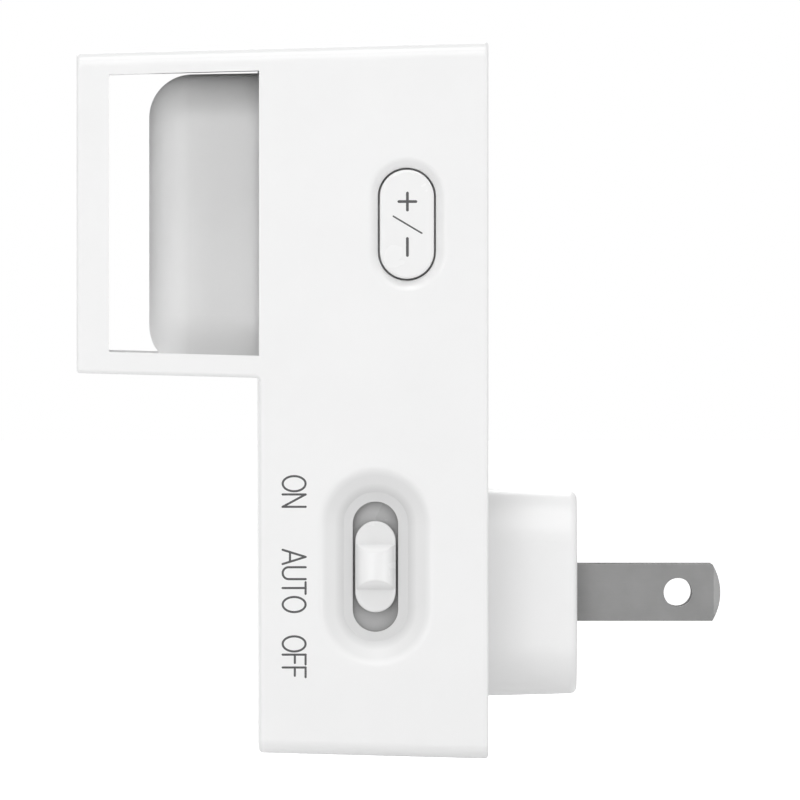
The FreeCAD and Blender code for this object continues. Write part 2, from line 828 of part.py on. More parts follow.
# Screw holes with head recesses at the four pillars
shank_hole = "size.screw_diameter + 2 * size.screw_clearance"
outline = circles(cover, "YZ_Plane", BACK, pillar_places, shank_hole)
pocket(cover, outline, "size.cover_thickness")
head_recess = "size.screw_head_diameter + 2 * size.screw_clearance"
outline = circles(cover, "YZ_Plane", BACK, pillar_places, head_recess)
pocket(cover, outline, "size.screw_head_height")

# Posts that carry the power board
cover_posts = [
    (f"-{COVER_POST_LEFT}", "size.cover_post_height"),
    (COVER_POST_RIGHT, "size.cover_post_height"),
]
outline = circles(cover, "YZ_Plane", COVER_INNER, cover_posts, "size.cover_post_diameter")
pad(cover, outline, f"{COVER_INNER} - {POWER_BOARD_BACK}", backwards=True)
outline = circles(cover, "YZ_Plane", POWER_BOARD_BACK, cover_posts, pilot)
pocket(cover, outline, "size.board_screw_length", backwards=True)

# Blade holder: a block in the boss's well that grips both blades
holder = new_body("blade_holder")
holder_front = "(-size.boss_end_wall - size.holder_length)"
outline = rounded(
    holder,
    "YZ_Plane",
    holder_front,
    ("0", "0"),
    f"{well_width} - 2 * size.cover_gap",
    f"{well_height} - 2 * size.cover_gap",
    f"{well_corner} - size.cover_gap",
)
pad(holder, outline, "size.holder_length")
blade_slots(holder, "-size.boss_end_wall", "size.holder_length")

# Blades: round nosed, bevelled at the tip, with a shoulder behind the holder and a tail to the board
shoulder_front = f"({holder_front} - size.blade_shoulder_length)"
tail_end = f"({POWER_BOARD_FRONT} - size.blade_tail_overhang)"
nose_centre = "(size.blade_reach - size.blade_tip_radius)"
corner_reach = f"({nose_centre} + sqrt(size.blade_tip_radius ^ 2 - (size.blade_height / 2) ^ 2))"


def blade(label, side):
    """One flat blade lying in a plane square to Y."""
    body = new_body(label)
    centre = f"({side}{BLADE_SIDE})"
    level = f"-{centre}"
    half = "(size.blade_height / 2)"
    shoulder = "(size.blade_shoulder_height / 2)"
    tail = "(size.blade_tail_height / 2)"
    strip = rectangle(body, "XZ_Plane", level, (shoulder_front, f"-{half}"), ("size.blade_reach", half))
    pad(body, strip, "size.blade_thickness", both=True)
    flange = rectangle(body, "XZ_Plane", level, (shoulder_front, f"-{shoulder}"), (holder_front, shoulder))
    pad(body, flange, "size.blade_thickness", both=True)
    foot = rectangle(body, "XZ_Plane", level, (tail_end, f"-{tail}"), (shoulder_front, tail))
    pad(body, foot, "size.blade_thickness", both=True)
    nose = sketch_on(body, "XZ_Plane", level)
    round_the_nose(nose, half)
    pocket(body, nose, both=True)
    hole = circles(body, "XZ_Plane", level, [("size.blade_hole_distance", "0")], "size.blade_hole_diameter")
    pocket(body, hole, both=True)
    for turn in ("", "-"):
        face = f"({centre} {turn or '+'} size.blade_thickness / 2)"
        inner = f"({centre} {turn or '+'} (size.blade_thickness / 2 - size.blade_bevel_depth))"
        outer = f"({centre} {turn or '+'} size.blade_thickness)"
        corners = [
            ("size.blade_reach - size.blade_bevel_length", face),
            ("size.blade_reach + size.blade_bevel_length", f"2 * {inner} - {face}"),
            ("size.blade_reach + size.blade_bevel_length", outer),
            ("size.blade_reach - size.blade_bevel_length", outer),
        ]
        bevel = polygon(body, "XY_Plane", "0", corners)
        pocket(body, bevel, both=True)


def round_the_nose(sketch, half):
    """Waste in front of the nose: its arc closed by three straight lines."""
    clear = "(size.blade_reach + size.blade_height)"
    circle = Part.Circle(V(number(nose_centre), 0, 0), V(0, 0, 1), number("size.blade_tip_radius"))
    top = V(number(corner_reach), number(half), 0)
    bottom = V(number(corner_reach), -number(half), 0)
    opening = circle.parameter(top)
    arc = Part.ArcOfCircle(circle, -opening, opening)
    sketch.addGeometry(arc, False)
    out_top = V(number(clear), number(half), 0)
    out_bottom = V(number(clear), -number(half), 0)
    for start, end in ((top, out_top), (out_top, out_bottom), (out_bottom, bottom)):
        sketch.addGeometry(Part.LineSegment(start, end), False)
    for first, second in ((0, 1), (1, 2), (2, 3)):
        sketch.addConstraint(Sketcher.Constraint("Coincident", first, 2, second, 1))
    sketch.addConstraint(Sketcher.Constraint("Coincident", 3, 2, 0, 1))
    index = sketch.addConstraint(Sketcher.Constraint("DistanceX", -1, 1, 0, 3, number(nose_centre)))
    sketch.setExpression(f"Constraints[{index}]", nose_centre)
    pin_down(sketch, 1, 1, corner_reach, half)
    pin_down(sketch, 2, 1, clear, half)
    pin_down(sketch, 2, 2, clear, f"-{half}")
    pin_down(sketch, 3, 2, corner_reach, f"-{half}")


blade("blade_left", "")
blade("blade_right", "-")

# Diffuser: a pillow-shaped hollow dome on a flat flange behind the front wall
diffuser = new_body("diffuser")
dome_front = f"({BODY_FRONT} - size.dome_reach)"
dome_low = (f"-{DOME_WIDTH} / 2", DOME_BOTTOM)
dome_high = (f"{DOME_WIDTH} / 2", DOME_TOP)
drafted_block(diffuser, "Additive", FLANGE_BACK, dome_front, dome_low, dome_high, "size.dome_draft")
hollow_front = f"({dome_front} + size.dome_wall)"
hollow_low = [f"{place} + size.dome_wall" for place in dome_low]
hollow_high = [f"{place} - size.dome_wall" for place in dome_high]
drafted_block(
    diffuser,
    "Subtractive",
    FLANGE_BACK,
    hollow_front,
    hollow_low,
    hollow_high,
    "size.dome_draft",
)
mid_wall = number(f"{DOME_WIDTH} / 2 - size.dome_wall / 2")
for depth, front, inside in (("size.dome_wall", hollow_front, True), ("0", dome_front, False)):
    front_x = number(front)
    round_edges(
        diffuser,
        f"size.dome_corner - {depth}",
        lambda at, way: runs_along(way, ALONG_X) and (abs(at.y) < mid_wall) == inside,
    )
    round_edges(diffuser, f"size.dome_edge - {depth}", lambda at, way: abs(at.x - front_x) < HAIR)
flange_half = f"({DOME_WIDTH} / 2 + size.flange_lip)"
outline = rectangle(
    diffuser,
    "YZ_Plane",
    CAVITY_FRONT,
    (f"-{flange_half}", f"{DOME_BOTTOM} - size.flange_lip"),
    (flange_half, DOME_TOP),
)
draw_rounded(
    outline,
    ("0", DOME_LEVEL),
    f"{DOME_WIDTH} - size.dome_wall",
    f"{DOME_HEIGHT} - size.dome_wall",
    "size.dome_corner - size.dome_wall / 2",
)
pad(diffuser, outline, "size.flange_thickness")

# Reflector: a funnel that spreads the light from the board into the dome
reflector = new_body("reflector")
outline = rectangle(
    reflector,
    "YZ_Plane",
    FLANGE_BACK,
    (f"-{DOME_WIDTH} / 2", DOME_BOTTOM),
    (f"{DOME_WIDTH} / 2", DOME_TOP),
)
pad(reflector, outline, "size.reflector_depth")
mouth_low = [f"{place} + size.reflector_wall" for place in dome_low]
mouth_high = [f"{place} - size.reflector_wall" for place in dome_high]
throat_low = ("-size.reflector_throat_width / 2", f"{DOME_LEVEL} - size.reflector_throat_height / 2")
throat_high = ("size.reflector_throat_width / 2", f"{DOME_LEVEL} + size.reflector_throat_height / 2")
wedge(
    reflector,
    "Subtractive",
    LIGHT_BOARD_FRONT,
    (throat_low, throat_high),
    FLANGE_BACK,
    (mouth_low, mouth_high),
)
round_edges(
    reflector,
    "size.reflector_corner",
    lambda at, way: abs(way.x) > HAIR and not runs_along(way, ALONG_X),
)

# Light board behind the reflector, screwed to the front wall's posts
light_board = new_body("light_board")
board_half = "(size.light_board_width / 2)"
board_top = f"({ceiling(LIGHT_BOARD_FRONT)} - size.light_board_top_gap)"
outline = rectangle(
    light_board,
    "YZ_Plane",
    LIGHT_BOARD_FRONT,
    (f"-{board_half}", "size.light_board_bottom"),
    (board_half, board_top),
)
pad(light_board, outline, "size.light_board_thickness")
screw_hole = "size.board_screw_diameter + 2 * size.screw_clearance"
outline = circles(light_board, "YZ_Plane", LIGHT_BOARD_BACK, light_posts, screw_hole)
pocket(light_board, outline, "size.light_board_thickness")
light_leads = [
    ("size.light_lead_spacing / 2", "size.light_lead_level"),
    ("-size.light_lead_spacing / 2", "size.light_lead_level"),
]
lead_hole = "size.light_lead_diameter + 2 * size.screw_gap"
outline = circles(light_board, "YZ_Plane", LIGHT_BOARD_BACK, light_leads, lead_hole)
pocket(light_board, outline, "size.light_board_thickness")

# Light sources in rows of two on the board's front
sources = []
rows = int(number("size.light_rows"))
for row in range(rows):
    for side in ("", "-"):
        level = f"({DOME_LEVEL} + ({row} - ({rows} - 1) / 2) * size.light_pitch)"
        centre = f"({side}size.light_pitch / 2)"
        low = (
            f"{LIGHT_BOARD_FRONT} - size.light_height",
            f"{centre} - size.light_side / 2",
            f"{level} - size.light_side / 2",
        )
        high = (LIGHT_BOARD_FRONT, f"{centre} + size.light_side / 2", f"{level} + size.light_side / 2")
        sources.append(box(f"light_source_{len(sources) + 1}", low, high))
group("light_sources", sources)

# Photocell on the light board, looking out through the sensor lens
lens_inner = f"({CAVITY_FRONT} + size.sensor_flange_thickness)"
lens = fused(
    "sensor_lens",
    [
        rod(
            "sensor_lens_face",
            (BODY_FRONT, "0", "size.sensor_level"),
            ALONG_X,
            "size.sensor_lens_diameter",
            f"{lens_inner} - {BODY_FRONT}",
        ),
        rod(
            "sensor_lens_flange",
            (CAVITY_FRONT, "0", "size.sensor_level"),
            ALONG_X,
            "size.sensor_flange_diameter",
            "size.sensor_flange_thickness",
        ),
    ],
)
node("sensor_lens", lens)
photocell = rod(
    "photocell",
    (lens_inner, "0", "size.sensor_level"),
    ALONG_X,
    "size.photocell_diameter",
    f"{LIGHT_BOARD_FRONT} - {lens_inner}",
)
node("photocell", photocell)

# Power board with its parts, on the rear cover's posts
power_board = new_body("power_board")
outline = rectangle(
    power_board,
    "YZ_Plane",
    POWER_BOARD_BACK,
    (f"-{POWER_LEFT}", "size.power_board_bottom"),
    (POWER_RIGHT, "size.power_board_top"),
)
pad(power_board, outline, "size.board_thickness", backwards=True)
outline = circles(power_board, "YZ_Plane", POWER_BOARD_BACK, cover_posts, screw_hole)
pocket(power_board, outline, "size.board_thickness")
outline = circles(power_board, "YZ_Plane", POWER_BOARD_BACK, light_leads, lead_hole)
pocket(power_board, outline, "size.board_thickness")
for side in ("", "-"):
    centre = f"{side}{BLADE_SIDE}"
    tail_reach = "(size.blade_tail_height / 2 + size.blade_slot_gap)"
    low = (f"{centre} - {slot_half}", f"-{tail_reach}")
    high = (f"{centre} + {slot_half}", tail_reach)
    outline = rectangle(power_board, "YZ_Plane", POWER_BOARD_BACK, low, high)
    pocket(power_board, outline, "size.board_thickness")


def legged_package(label, middle, level, width, height, thickness, legs):
    """Surface-mounted package: a moulded block carried on bent legs down both of its sides."""
    face = f"({POWER_BOARD_FRONT} - size.leg_lift)"
    low = (f"{face} - {thickness}", f"{middle} - {width} / 2", f"{level} - {height} / 2")
    high = (face, f"{middle} + {width} / 2", f"{level} + {height} / 2")
    pieces = [box(f"{label}_block", low, high)]
    shoulder = f"({face} - {thickness} / 2)"
    for index in range(int(number(legs))):
        row = f"({level} + ({index} - ({legs} - 1) / 2) * {height} / {legs})"
        bottom = f"{row} - size.leg_width / 2"
        top = f"{row} + size.leg_width / 2"
        for side in (-1, 1):
            inner = f"({middle} + {side} * {width} / 2)"
            bend = f"({inner} + {side} * size.leg_thickness)"
            toe = f"({inner} + {side} * size.leg_reach)"
            shin = [inner, bend][::side]
            foot = [inner, toe][::side]
            name = f"{label}_leg_{len(pieces)}"
            pieces.append(box(f"{name}_shin", (shoulder, shin[0], bottom), (POWER_BOARD_FRONT, shin[1], top)))
            sole = f"({POWER_BOARD_FRONT} - size.leg_thickness)"
            pieces.append(box(f"{name}_foot", (sole, foot[0], bottom), (POWER_BOARD_FRONT, foot[1], top)))
    return node(label, fused(label, pieces))


# Electrolytic capacitor: a can with a rounded top and a crimp round its foot
capacitor = new_body("electrolytic_capacitor")
capacitor_level = "(size.power_board_bottom + size.capacitor_diameter / 2)"
capacitor_place = [("-size.part_spacing", capacitor_level)]
outline = circles(capacitor, "YZ_Plane", POWER_BOARD_FRONT, capacitor_place, "size.capacitor_diameter")
pad(capacitor, outline, "size.capacitor_length", backwards=True)
capacitor_top = number(f"{POWER_BOARD_FRONT} - size.capacitor_length")
round_edges(capacitor, "size.capacitor_edge", lambda at, way: at.x < capacitor_top + HAIR)
crimp_level = f"({POWER_BOARD_FRONT} - size.capacitor_crimp_height)"
outline = circles(capacitor, "YZ_Plane", crimp_level, capacitor_place, "size.capacitor_diameter * 2")
draw_circles(outline, capacitor_place, "size.capacitor_diameter - 2 * size.capacitor_crimp")
pocket(capacitor, outline, "2 * size.capacitor_crimp", both=True)

# Film capacitor: a dipped block with rounded edges
film = new_body("film_capacitor")
film_level = "(size.power_board_bottom + size.film_thickness / 2)"
film_middle = "(size.part_spacing + size.screw_gap)"
outline = rounded(
    film,
    "YZ_Plane",
    POWER_BOARD_FRONT,
    (film_middle, film_level),
    "size.film_width",
    "size.film_thickness",
    "size.film_edge",
)
pad(film, outline, "size.film_length", backwards=True)
film_top = number(f"{POWER_BOARD_FRONT} - size.film_length")
round_edges(film, "size.film_edge / 2", lambda at, way: at.x < film_top + HAIR)

# Driver chip and bridge rectifier on their legs
legged_package(
    "driver_chip",
    "0",
    "size.cover_post_height",
    "size.chip_width",
    "size.chip_length",
    "size.chip_height",
    "size.chip_legs",
)
legged_package(
    "bridge_rectifier",
    f"({POWER_RIGHT} - size.rectifier_side)",
    "size.rectifier_side",
    "size.rectifier_side",
    "size.rectifier_side",
    "size.rectifier_height",
    "size.rectifier_legs",
)

# Fusible resistor: a lacquered barrel with a wider cap pressed on each end
cap_diameter = "(size.resistor_diameter + 2 * size.resistor_cap_rise)"
resistor_x = f"{POWER_BOARD_FRONT} - {cap_diameter} / 2"
resistor_middle = "size.part_spacing + size.chip_width / 2"
resistor_top = "(size.power_board_top - size.resistor_inset)"
resistor_foot = f"({resistor_top} - size.resistor_length)"
barrel = rod(
    "resistor_barrel",
    (resistor_x, resistor_middle, resistor_foot),
    ALONG_Z,
    "size.resistor_diameter",
    "size.resistor_length",
)
end_caps = []
for name, level in (("lower", resistor_foot), ("upper", f"{resistor_top} - size.resistor_cap_length")):
    start = (resistor_x, resistor_middle, level)
    end_caps.append(rod(f"resistor_{name}_cap", start, ALONG_Z, cap_diameter, "size.resistor_cap_length"))
node("fusible_resistor", fused("fusible_resistor", [barrel, *end_caps]))

# Straight leads between the light board and the power board
lead_start = f"({LIGHT_BOARD_FRONT} - size.light_height / 2)"
lead_length = f"{POWER_BOARD_BACK} + size.blade_tail_overhang / 2 - {lead_start}"
leads = []
for across, up in light_leads:
    name = f"light_lead_{len(leads) + 1}"
    leads.append(rod(name, (lead_start, across, up), ALONG_X, "size.light_lead_diameter", lead_length))
group("light_leads", leads)

# Control board: an L-shaped board on the side wall's posts
control_board = new_body("control_board")
CONTROL_BACK = f"({CONTROL_LEVEL} - size.board_thickness)"
board_rear = f"({BACK} - size.control_board_back)"
board_step = f"({board_rear} - size.body_depth + size.control_board_upper_inset)"
board_front = f"({board_rear} - size.body_depth + size.control_board_lower_inset)"
outline = polygon(
    control_board,
    "XZ_Plane",
    CONTROL_BACK,
    [
        (board_rear, "size.control_board_bottom"),
        (board_rear, "size.control_board_top"),
        (board_step, "size.control_board_top"),
        (board_step, "size.control_board_step"),
        (board_front, "size.control_board_step"),
        (board_front, "size.control_board_bottom"),
    ],
)
pad(control_board, outline, "size.board_thickness")
outline = circles(control_board, "XZ_Plane", CONTROL_LEVEL, control_posts, screw_hole)
pocket(control_board, outline, "size.board_thickness")

# Header between the two boards: a socket on the power board and pins from the control board
header_low = f"({POWER_BOARD_FRONT} - size.header_height)"
header_half = "(size.header_pins * size.header_pitch / 2)"
header = new_body("header_socket")
outline = rectangle(
    header,
    "XZ_Plane",
    f"{POWER_LEFT} - size.header_width",
    (header_low, f"size.header_level - {header_half}"),
    (POWER_BOARD_FRONT, f"size.header_level + {header_half}"),
)
pad(header, outline, "size.header_width")
pins = []
pin_count = int(number("size.header_pins"))
pin_middle = f"({POWER_BOARD_FRONT} - size.header_height / 2)"
pin_half = "(size.header_pin_side / 2)"
hole_half = f"({pin_half} + size.screw_gap / 2)"
for index in range(pin_count):
    level = f"(size.header_level + ({index} - ({pin_count} - 1) / 2) * size.header_pitch)"
    outline = rectangle(
        header,
        "XZ_Plane",
        POWER_LEFT,
        (f"{pin_middle} - {hole_half}", f"{level} - {hole_half}"),
        (f"{pin_middle} + {hole_half}", f"{level} + {hole_half}"),
    )
    pocket(header, outline, "size.header_width")
    low = (f"{pin_middle} - {pin_half}", f"-{CONTROL_BACK}", f"{level} - {pin_half}")
    high = (
        f"{pin_middle} + {pin_half}",
        f"-{POWER_LEFT} + size.header_width",
        f"{level} + {pin_half}",
    )
    pins.append(box(f"header_pin_{index + 1}", low, high))
group("header_pins", pins)

# Slide switch body, open at the top for its lever
switch_body = new_body("slide_switch_body")
switch_top = f"({CONTROL_LEVEL} + size.switch_body_height)"
half_width = "(size.switch_body_width / 2)"
half_length = "(size.switch_body_length / 2)"
outline = rectangle(
    switch_body,
    "XZ_Plane",
    CONTROL_LEVEL,
    (f"{SWITCH_X} - {half_width}", f"size.switch_level - {half_length}"),
    (f"{SWITCH_X} + {half_width}", f"size.switch_level + {half_length}"),
)
pad(switch_body, outline, "size.switch_body_height")
run_width = "(size.lever_width / 2 + size.lever_gap)"
run_length = "(size.lever_length / 2 + size.switch_travel + size.lever_gap)"
outline = rectangle(
    switch_body,
    "XZ_Plane",
    switch_top,
    (f"{SWITCH_X} - {run_width}", f"size.switch_level - {run_length}"),
    (f"{SWITCH_X} + {run_width}", f"size.switch_level + {run_length}"),
)
pocket(switch_body, outline, "size.lever_root + size.lever_gap")

# Lever of the slide switch, which the knob carries along
shutter_inner = f"({SHUTTER_OUTER} - size.shutter_thickness)"
lever_bottom = f"({switch_top} - size.lever_root)"
lever_top = f"({shutter_inner} + size.lever_engagement)"
lever_low = (
    f"{SWITCH_X} - size.lever_width / 2",
    f"-{lever_top}",
    "size.switch_level - size.lever_length / 2",
)
lever_high = (
    f"{SWITCH_X} + size.lever_width / 2",
    f"-{lever_bottom}",
    "size.switch_level + size.lever_length / 2",
)
node("slide_switch_lever", box("slide_switch_lever", lever_low, lever_high))

# Mode knob: a shutter plate behind the slot, a stem, and a crowned grip between two lands
knob = new_body("mode_knob")
knob_centre = (SWITCH_X, "size.switch_level")
shutter_length = "(size.slot_length + 2 * size.switch_travel + size.shutter_lap)"
shutter_width = "(size.slot_width + 2 * size.shutter_lap)"
outline = stadium(knob, "XZ_Plane", shutter_inner, knob_centre, shutter_width, shutter_length)
pad(knob, outline, "size.shutter_thickness")
outline = stadium(knob, "XZ_Plane", shutter_inner, knob_centre, "size.knob_width", "size.knob_length")
pad(knob, outline, f"{KNOB_LAND} - {shutter_inner}")
knob_land_y = -number(KNOB_LAND)
round_edges(knob, "size.knob_edge", lambda at, way: abs(at.y - knob_land_y) < HAIR)
crown = f"({KNOB_LAND} + size.grip_rise)"
grip_half = "(size.knob_width / 2 - size.knob_edge)"
crease = "(size.grip_length / 2)"
shoulder = "(size.grip_length / 2 - size.grip_rise)"
outline = polygon(
    knob,
    "YZ_Plane",
    SWITCH_X,
    [
        (f"-{KNOB_LAND}", f"size.switch_level - {crease}"),
        (f"-{crown}", f"size.switch_level - {shoulder}"),
        (f"-{crown}", f"size.switch_level + {shoulder}"),
        (f"-{KNOB_LAND}", f"size.switch_level + {crease}"),
    ],
)
pad(knob, outline, f"2 * {grip_half}", both=True)


def crown_waste(body):
    """Waste outside the grip's crown: an arc over the knob's width under a straight top."""
    sketch = sketch_on(body, "XY_Plane", "size.switch_level")
    radius = f"(({grip_half} ^ 2 + size.grip_rise ^ 2) / (2 * size.grip_rise))"
    left = V(number(f"{SWITCH_X} - {grip_half}"), -number(KNOB_LAND), 0)
    peak = V(number(SWITCH_X), -number(crown), 0)
    right = V(number(f"{SWITCH_X} + {grip_half}"), -number(KNOB_LAND), 0)
    clear = f"({crown} + size.grip_rise)"
    out_right = V(right.x, -number(clear), 0)
    out_left = V(left.x, -number(clear), 0)
    sketch.addGeometry(Part.Arc(left, peak, right), False)
    for start, end in ((right, out_right), (out_right, out_left), (out_left, left)):
        sketch.addGeometry(Part.LineSegment(start, end), False)
    sketch.addConstraint(Sketcher.Constraint("Coincident", 0, 2, 1, 1))
    sketch.addConstraint(Sketcher.Constraint("Coincident", 1, 2, 2, 1))
    sketch.addConstraint(Sketcher.Constraint("Coincident", 2, 2, 3, 1))
    sketch.addConstraint(Sketcher.Constraint("Coincident", 3, 2, 0, 1))
    set_radius(sketch, 0, radius)
    pin_down(sketch, 1, 1, f"{SWITCH_X} + {grip_half}", f"-{KNOB_LAND}")
    pin_down(sketch, 2, 1, f"{SWITCH_X} + {grip_half}", f"-{clear}")
    pin_down(sketch, 3, 1, f"{SWITCH_X} - {grip_half}", f"-{clear}")
    pin_down(sketch, 3, 2, f"{SWITCH_X} - {grip_half}", f"-{KNOB_LAND}")
    return sketch


pocket(knob, crown_waste(knob), both=True)
socket_width = "(size.lever_width / 2 + size.lever_gap / 2)"
socket_length = "(size.lever_length / 2 + size.lever_gap / 2)"
outline = rectangle(
    knob,
    "XZ_Plane",
    shutter_inner,
    (f"{SWITCH_X} - {socket_width}", f"size.switch_level - {socket_length}"),
    (f"{SWITCH_X} + {socket_width}", f"size.switch_level + {socket_length}"),
)
pocket(knob, outline, "size.lever_engagement + size.lever_gap", backwards=True)

# Push switch body and the plunger that the button bears on
tact = new_body("push_switch_body")
tact_half = "(size.tact_body_side / 2)"
tact_top = f"({CONTROL_LEVEL} + size.tact_body_height)"
outline = rectangle(
    tact,
    "XZ_Plane",
    CONTROL_LEVEL,
    (f"{BUTTON_X} - {tact_half}", f"size.button_level - {tact_half}"),
    (f"{BUTTON_X} + {tact_half}", f"size.button_level + {tact_half}"),
)
pad(tact, outline, "size.tact_body_height")
plunger_root = "(2 * size.button_travel)"
bore = "size.plunger_diameter + 2 * size.plunger_gap"
outline = circles(tact, "XZ_Plane", tact_top, [(BUTTON_X, "size.button_level")], bore)
pocket(tact, outline, f"{plunger_root} + size.button_travel + size.plunger_gap")
plunger_top = f"({tact_top} + size.plunger_height)"
plunger = rod(
    "push_switch_plunger",
    (BUTTON_X, f"-{plunger_top}", "size.button_level"),
    ALONG_Y,
    "size.plunger_diameter",
    f"size.plunger_height + {plunger_root}",
)
node("push_switch_plunger", plunger)

# Brightness button: a rounded stadium cap with a flange behind the wall and a stem on the plunger
button = new_body("brightness_button")
button_centre = (BUTTON_X, "size.button_level")
flange_inner = f"({FLANGE_OUTER} - size.button_flange_thickness)"
outline = stadium(
    button,
    "XZ_Plane",
    flange_inner,
    button_centre,
    "size.button_width + 2 * size.button_flange_lip",
    "size.button_length + 2 * size.button_flange_lip",
)
pad(button, outline, "size.button_flange_thickness")
button_top = f"({BUTTON_FACE} + size.button_proud)"
outline = stadium(button, "XZ_Plane", flange_inner, button_centre, "size.button_width", "size.button_length")
pad(button, outline, f"{button_top} - {flange_inner}")
button_top_y = -number(button_top)
round_edges(button, "size.button_edge", lambda at, way: at.y < button_top_y + HAIR)
stem = "size.plunger_diameter + size.lever_root"
outline = circles(button, "XZ_Plane", flange_inner, [button_centre], stem)
pad(button, outline, f"{flange_inner} - {plunger_top}", backwards=True)

# Screws: through the cover, and through each board into its posts
cover_seat = f"({BACK} - size.screw_head_height)"
screws = []
for across, up in pillar_places:
    screws.append(
        screw(
            f"housing_screw_{len(screws) + 1}",
            (cover_seat, across, up),
            -ALONG_X,
            "size.screw_head_diameter",
            "size.screw_head_height",
            "size.screw_diameter",
            "size.screw_length",
        )
    )
group("housing_screws", screws)


def board_screws(label, seats, axis):
    made = []
    for seat in seats:
        made.append(
            screw(
                f"{label}_{len(made) + 1}",
                seat,
                axis,
                "size.board_screw_head",
                "size.board_screw_head_height",
                "size.board_screw_diameter",
                "size.board_screw_length",
            )
        )
    group(label, made)


control_seats = [(along, f"-{CONTROL_BACK}", up) for along, up in control_posts]
board_screws("control_board_screws", control_seats, -ALONG_Y)
board_screws("light_board_screws", [(LIGHT_BOARD_BACK, across, up) for across, up in light_posts], -ALONG_X)
board_screws("power_board_screws", [(POWER_BOARD_FRONT, across, up) for across, up in cover_posts], ALONG_X)

# Check everything before anything is written
doc.recompute()
for thing in doc.Objects:
    if "Invalid" in thing.State or "Error" in thing.State:
        raise RuntimeError(f"{thing.Name} failed: {thing.State}")
for piece in nodes:
    if piece.Shape.isNull() or not piece.Shape.isValid():
        raise RuntimeError(f"{piece.Label} has no valid shape")

os.makedirs("parts", exist_ok=True)
for piece in nodes:
    piece.Shape.exportStep(f"parts/{piece.Label}.step")
print(len(nodes), "nodes written")
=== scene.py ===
import bpy
import math
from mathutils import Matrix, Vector
from mathutils.bvhtree import BVHTree


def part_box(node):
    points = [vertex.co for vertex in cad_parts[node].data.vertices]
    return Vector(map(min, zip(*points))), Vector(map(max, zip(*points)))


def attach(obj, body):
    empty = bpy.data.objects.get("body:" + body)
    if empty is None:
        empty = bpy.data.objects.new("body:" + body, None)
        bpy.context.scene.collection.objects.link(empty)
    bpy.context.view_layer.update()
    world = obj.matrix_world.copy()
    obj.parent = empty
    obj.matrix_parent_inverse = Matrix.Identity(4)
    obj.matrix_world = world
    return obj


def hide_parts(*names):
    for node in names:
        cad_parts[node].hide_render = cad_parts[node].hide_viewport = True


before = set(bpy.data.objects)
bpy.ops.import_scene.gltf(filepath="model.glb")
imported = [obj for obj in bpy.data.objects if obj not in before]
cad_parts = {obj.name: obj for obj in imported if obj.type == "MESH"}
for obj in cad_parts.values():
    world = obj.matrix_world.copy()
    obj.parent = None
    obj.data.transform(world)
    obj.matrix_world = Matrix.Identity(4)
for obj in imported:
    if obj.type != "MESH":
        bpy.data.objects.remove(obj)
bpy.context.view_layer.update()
MM = 0.001
scene = bpy.context.scene

# Camera: a very long lens square on the control side, as the photograph has next to no perspective
PICTURE = 800
SENSOR = 36.0
LENS = 1700.0
PIXELS_PER_MM = 9.014
ORIGIN_ACROSS = 578.15
ORIGIN_DOWN = 593.86
VANISHING_ACROSS = 110.0
VANISHING_DOWN = 155.0
PICTURE_MIDDLE = (PICTURE - 1) / 2
CLIP_START = 0.1
CLIP_END = 40.0


def in_metres(pixels):
    return pixels / PIXELS_PER_MM * MM


def across(pixel):
    """World x of a column of the photograph."""
    return in_metres(pixel - ORIGIN_ACROSS)


def up(pixel):
    """World z of a row of the photograph."""
    return in_metres(ORIGIN_DOWN - pixel)


side_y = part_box("front_housing")[0][1]
distance = in_metres(LENS / SENSOR * PICTURE)
camera_data = bpy.data.cameras.new("camera")
camera = bpy.data.objects.new("camera", camera_data)
scene.collection.objects.link(camera)
camera_data.lens = LENS
camera_data.sensor_width = SENSOR
camera_data.clip_start = CLIP_START
camera_data.clip_end = CLIP_END
camera.location = (across(VANISHING_ACROSS), side_y - distance, up(VANISHING_DOWN))
aim = Vector((across(PICTURE_MIDDLE), side_y, up(PICTURE_MIDDLE)))
camera.rotation_euler = (aim - camera.location).to_track_quat("-Z", "Y").to_euler()
scene.camera = camera


# Node trees
def calculate(tree, operation, first, second=0.0):
    """A math node; each operand is a socket or a number."""
    node = tree.nodes.new("ShaderNodeMath")
    node.operation = operation
    for socket, value in zip(node.inputs, (first, second)):
        if isinstance(value, float):
            socket.default_value = value
        else:
            tree.links.new(value, socket)
    return node.outputs[0]


def sight(tree):
    """1 for camera, glossy and transmission rays, else 0."""
    rays = tree.nodes.new("ShaderNodeLightPath")
    found = rays.outputs["Is Camera Ray"]
    for kind in ("Is Glossy Ray", "Is Transmission Ray"):
        found = calculate(tree, "MAXIMUM", found, rays.outputs[kind])
    return found


# Materials
# Ambient occlusion range over which the painted shade in grooves and corners is laid
OCCLUDED = 0.3
OPEN = 0.97
GLOSS_START = 0.1
GLOSS_STOP = 0.9
BODY_BACK = -10.0 * MM
SIDE_AT_BACK = -25.0 * MM
DRAFT = math.radians(1.5)
# Depth ranges and reach of the painted shade round the switch
DISH_SLOPE = (0.05 * MM, 0.4 * MM)
DISH_LEDGE = (0.9 * MM, 1.4 * MM)
SLOT_DEPTHS = (0.35 * MM, 1.35 * MM)
CONTROL_SIDE_ONLY = -20.0 * MM
SWITCH_MIDDLE = (-22.53 * MM, 3.05 * MM)
SWITCH_REACH = (6.5 * MM, 11.3 * MM)


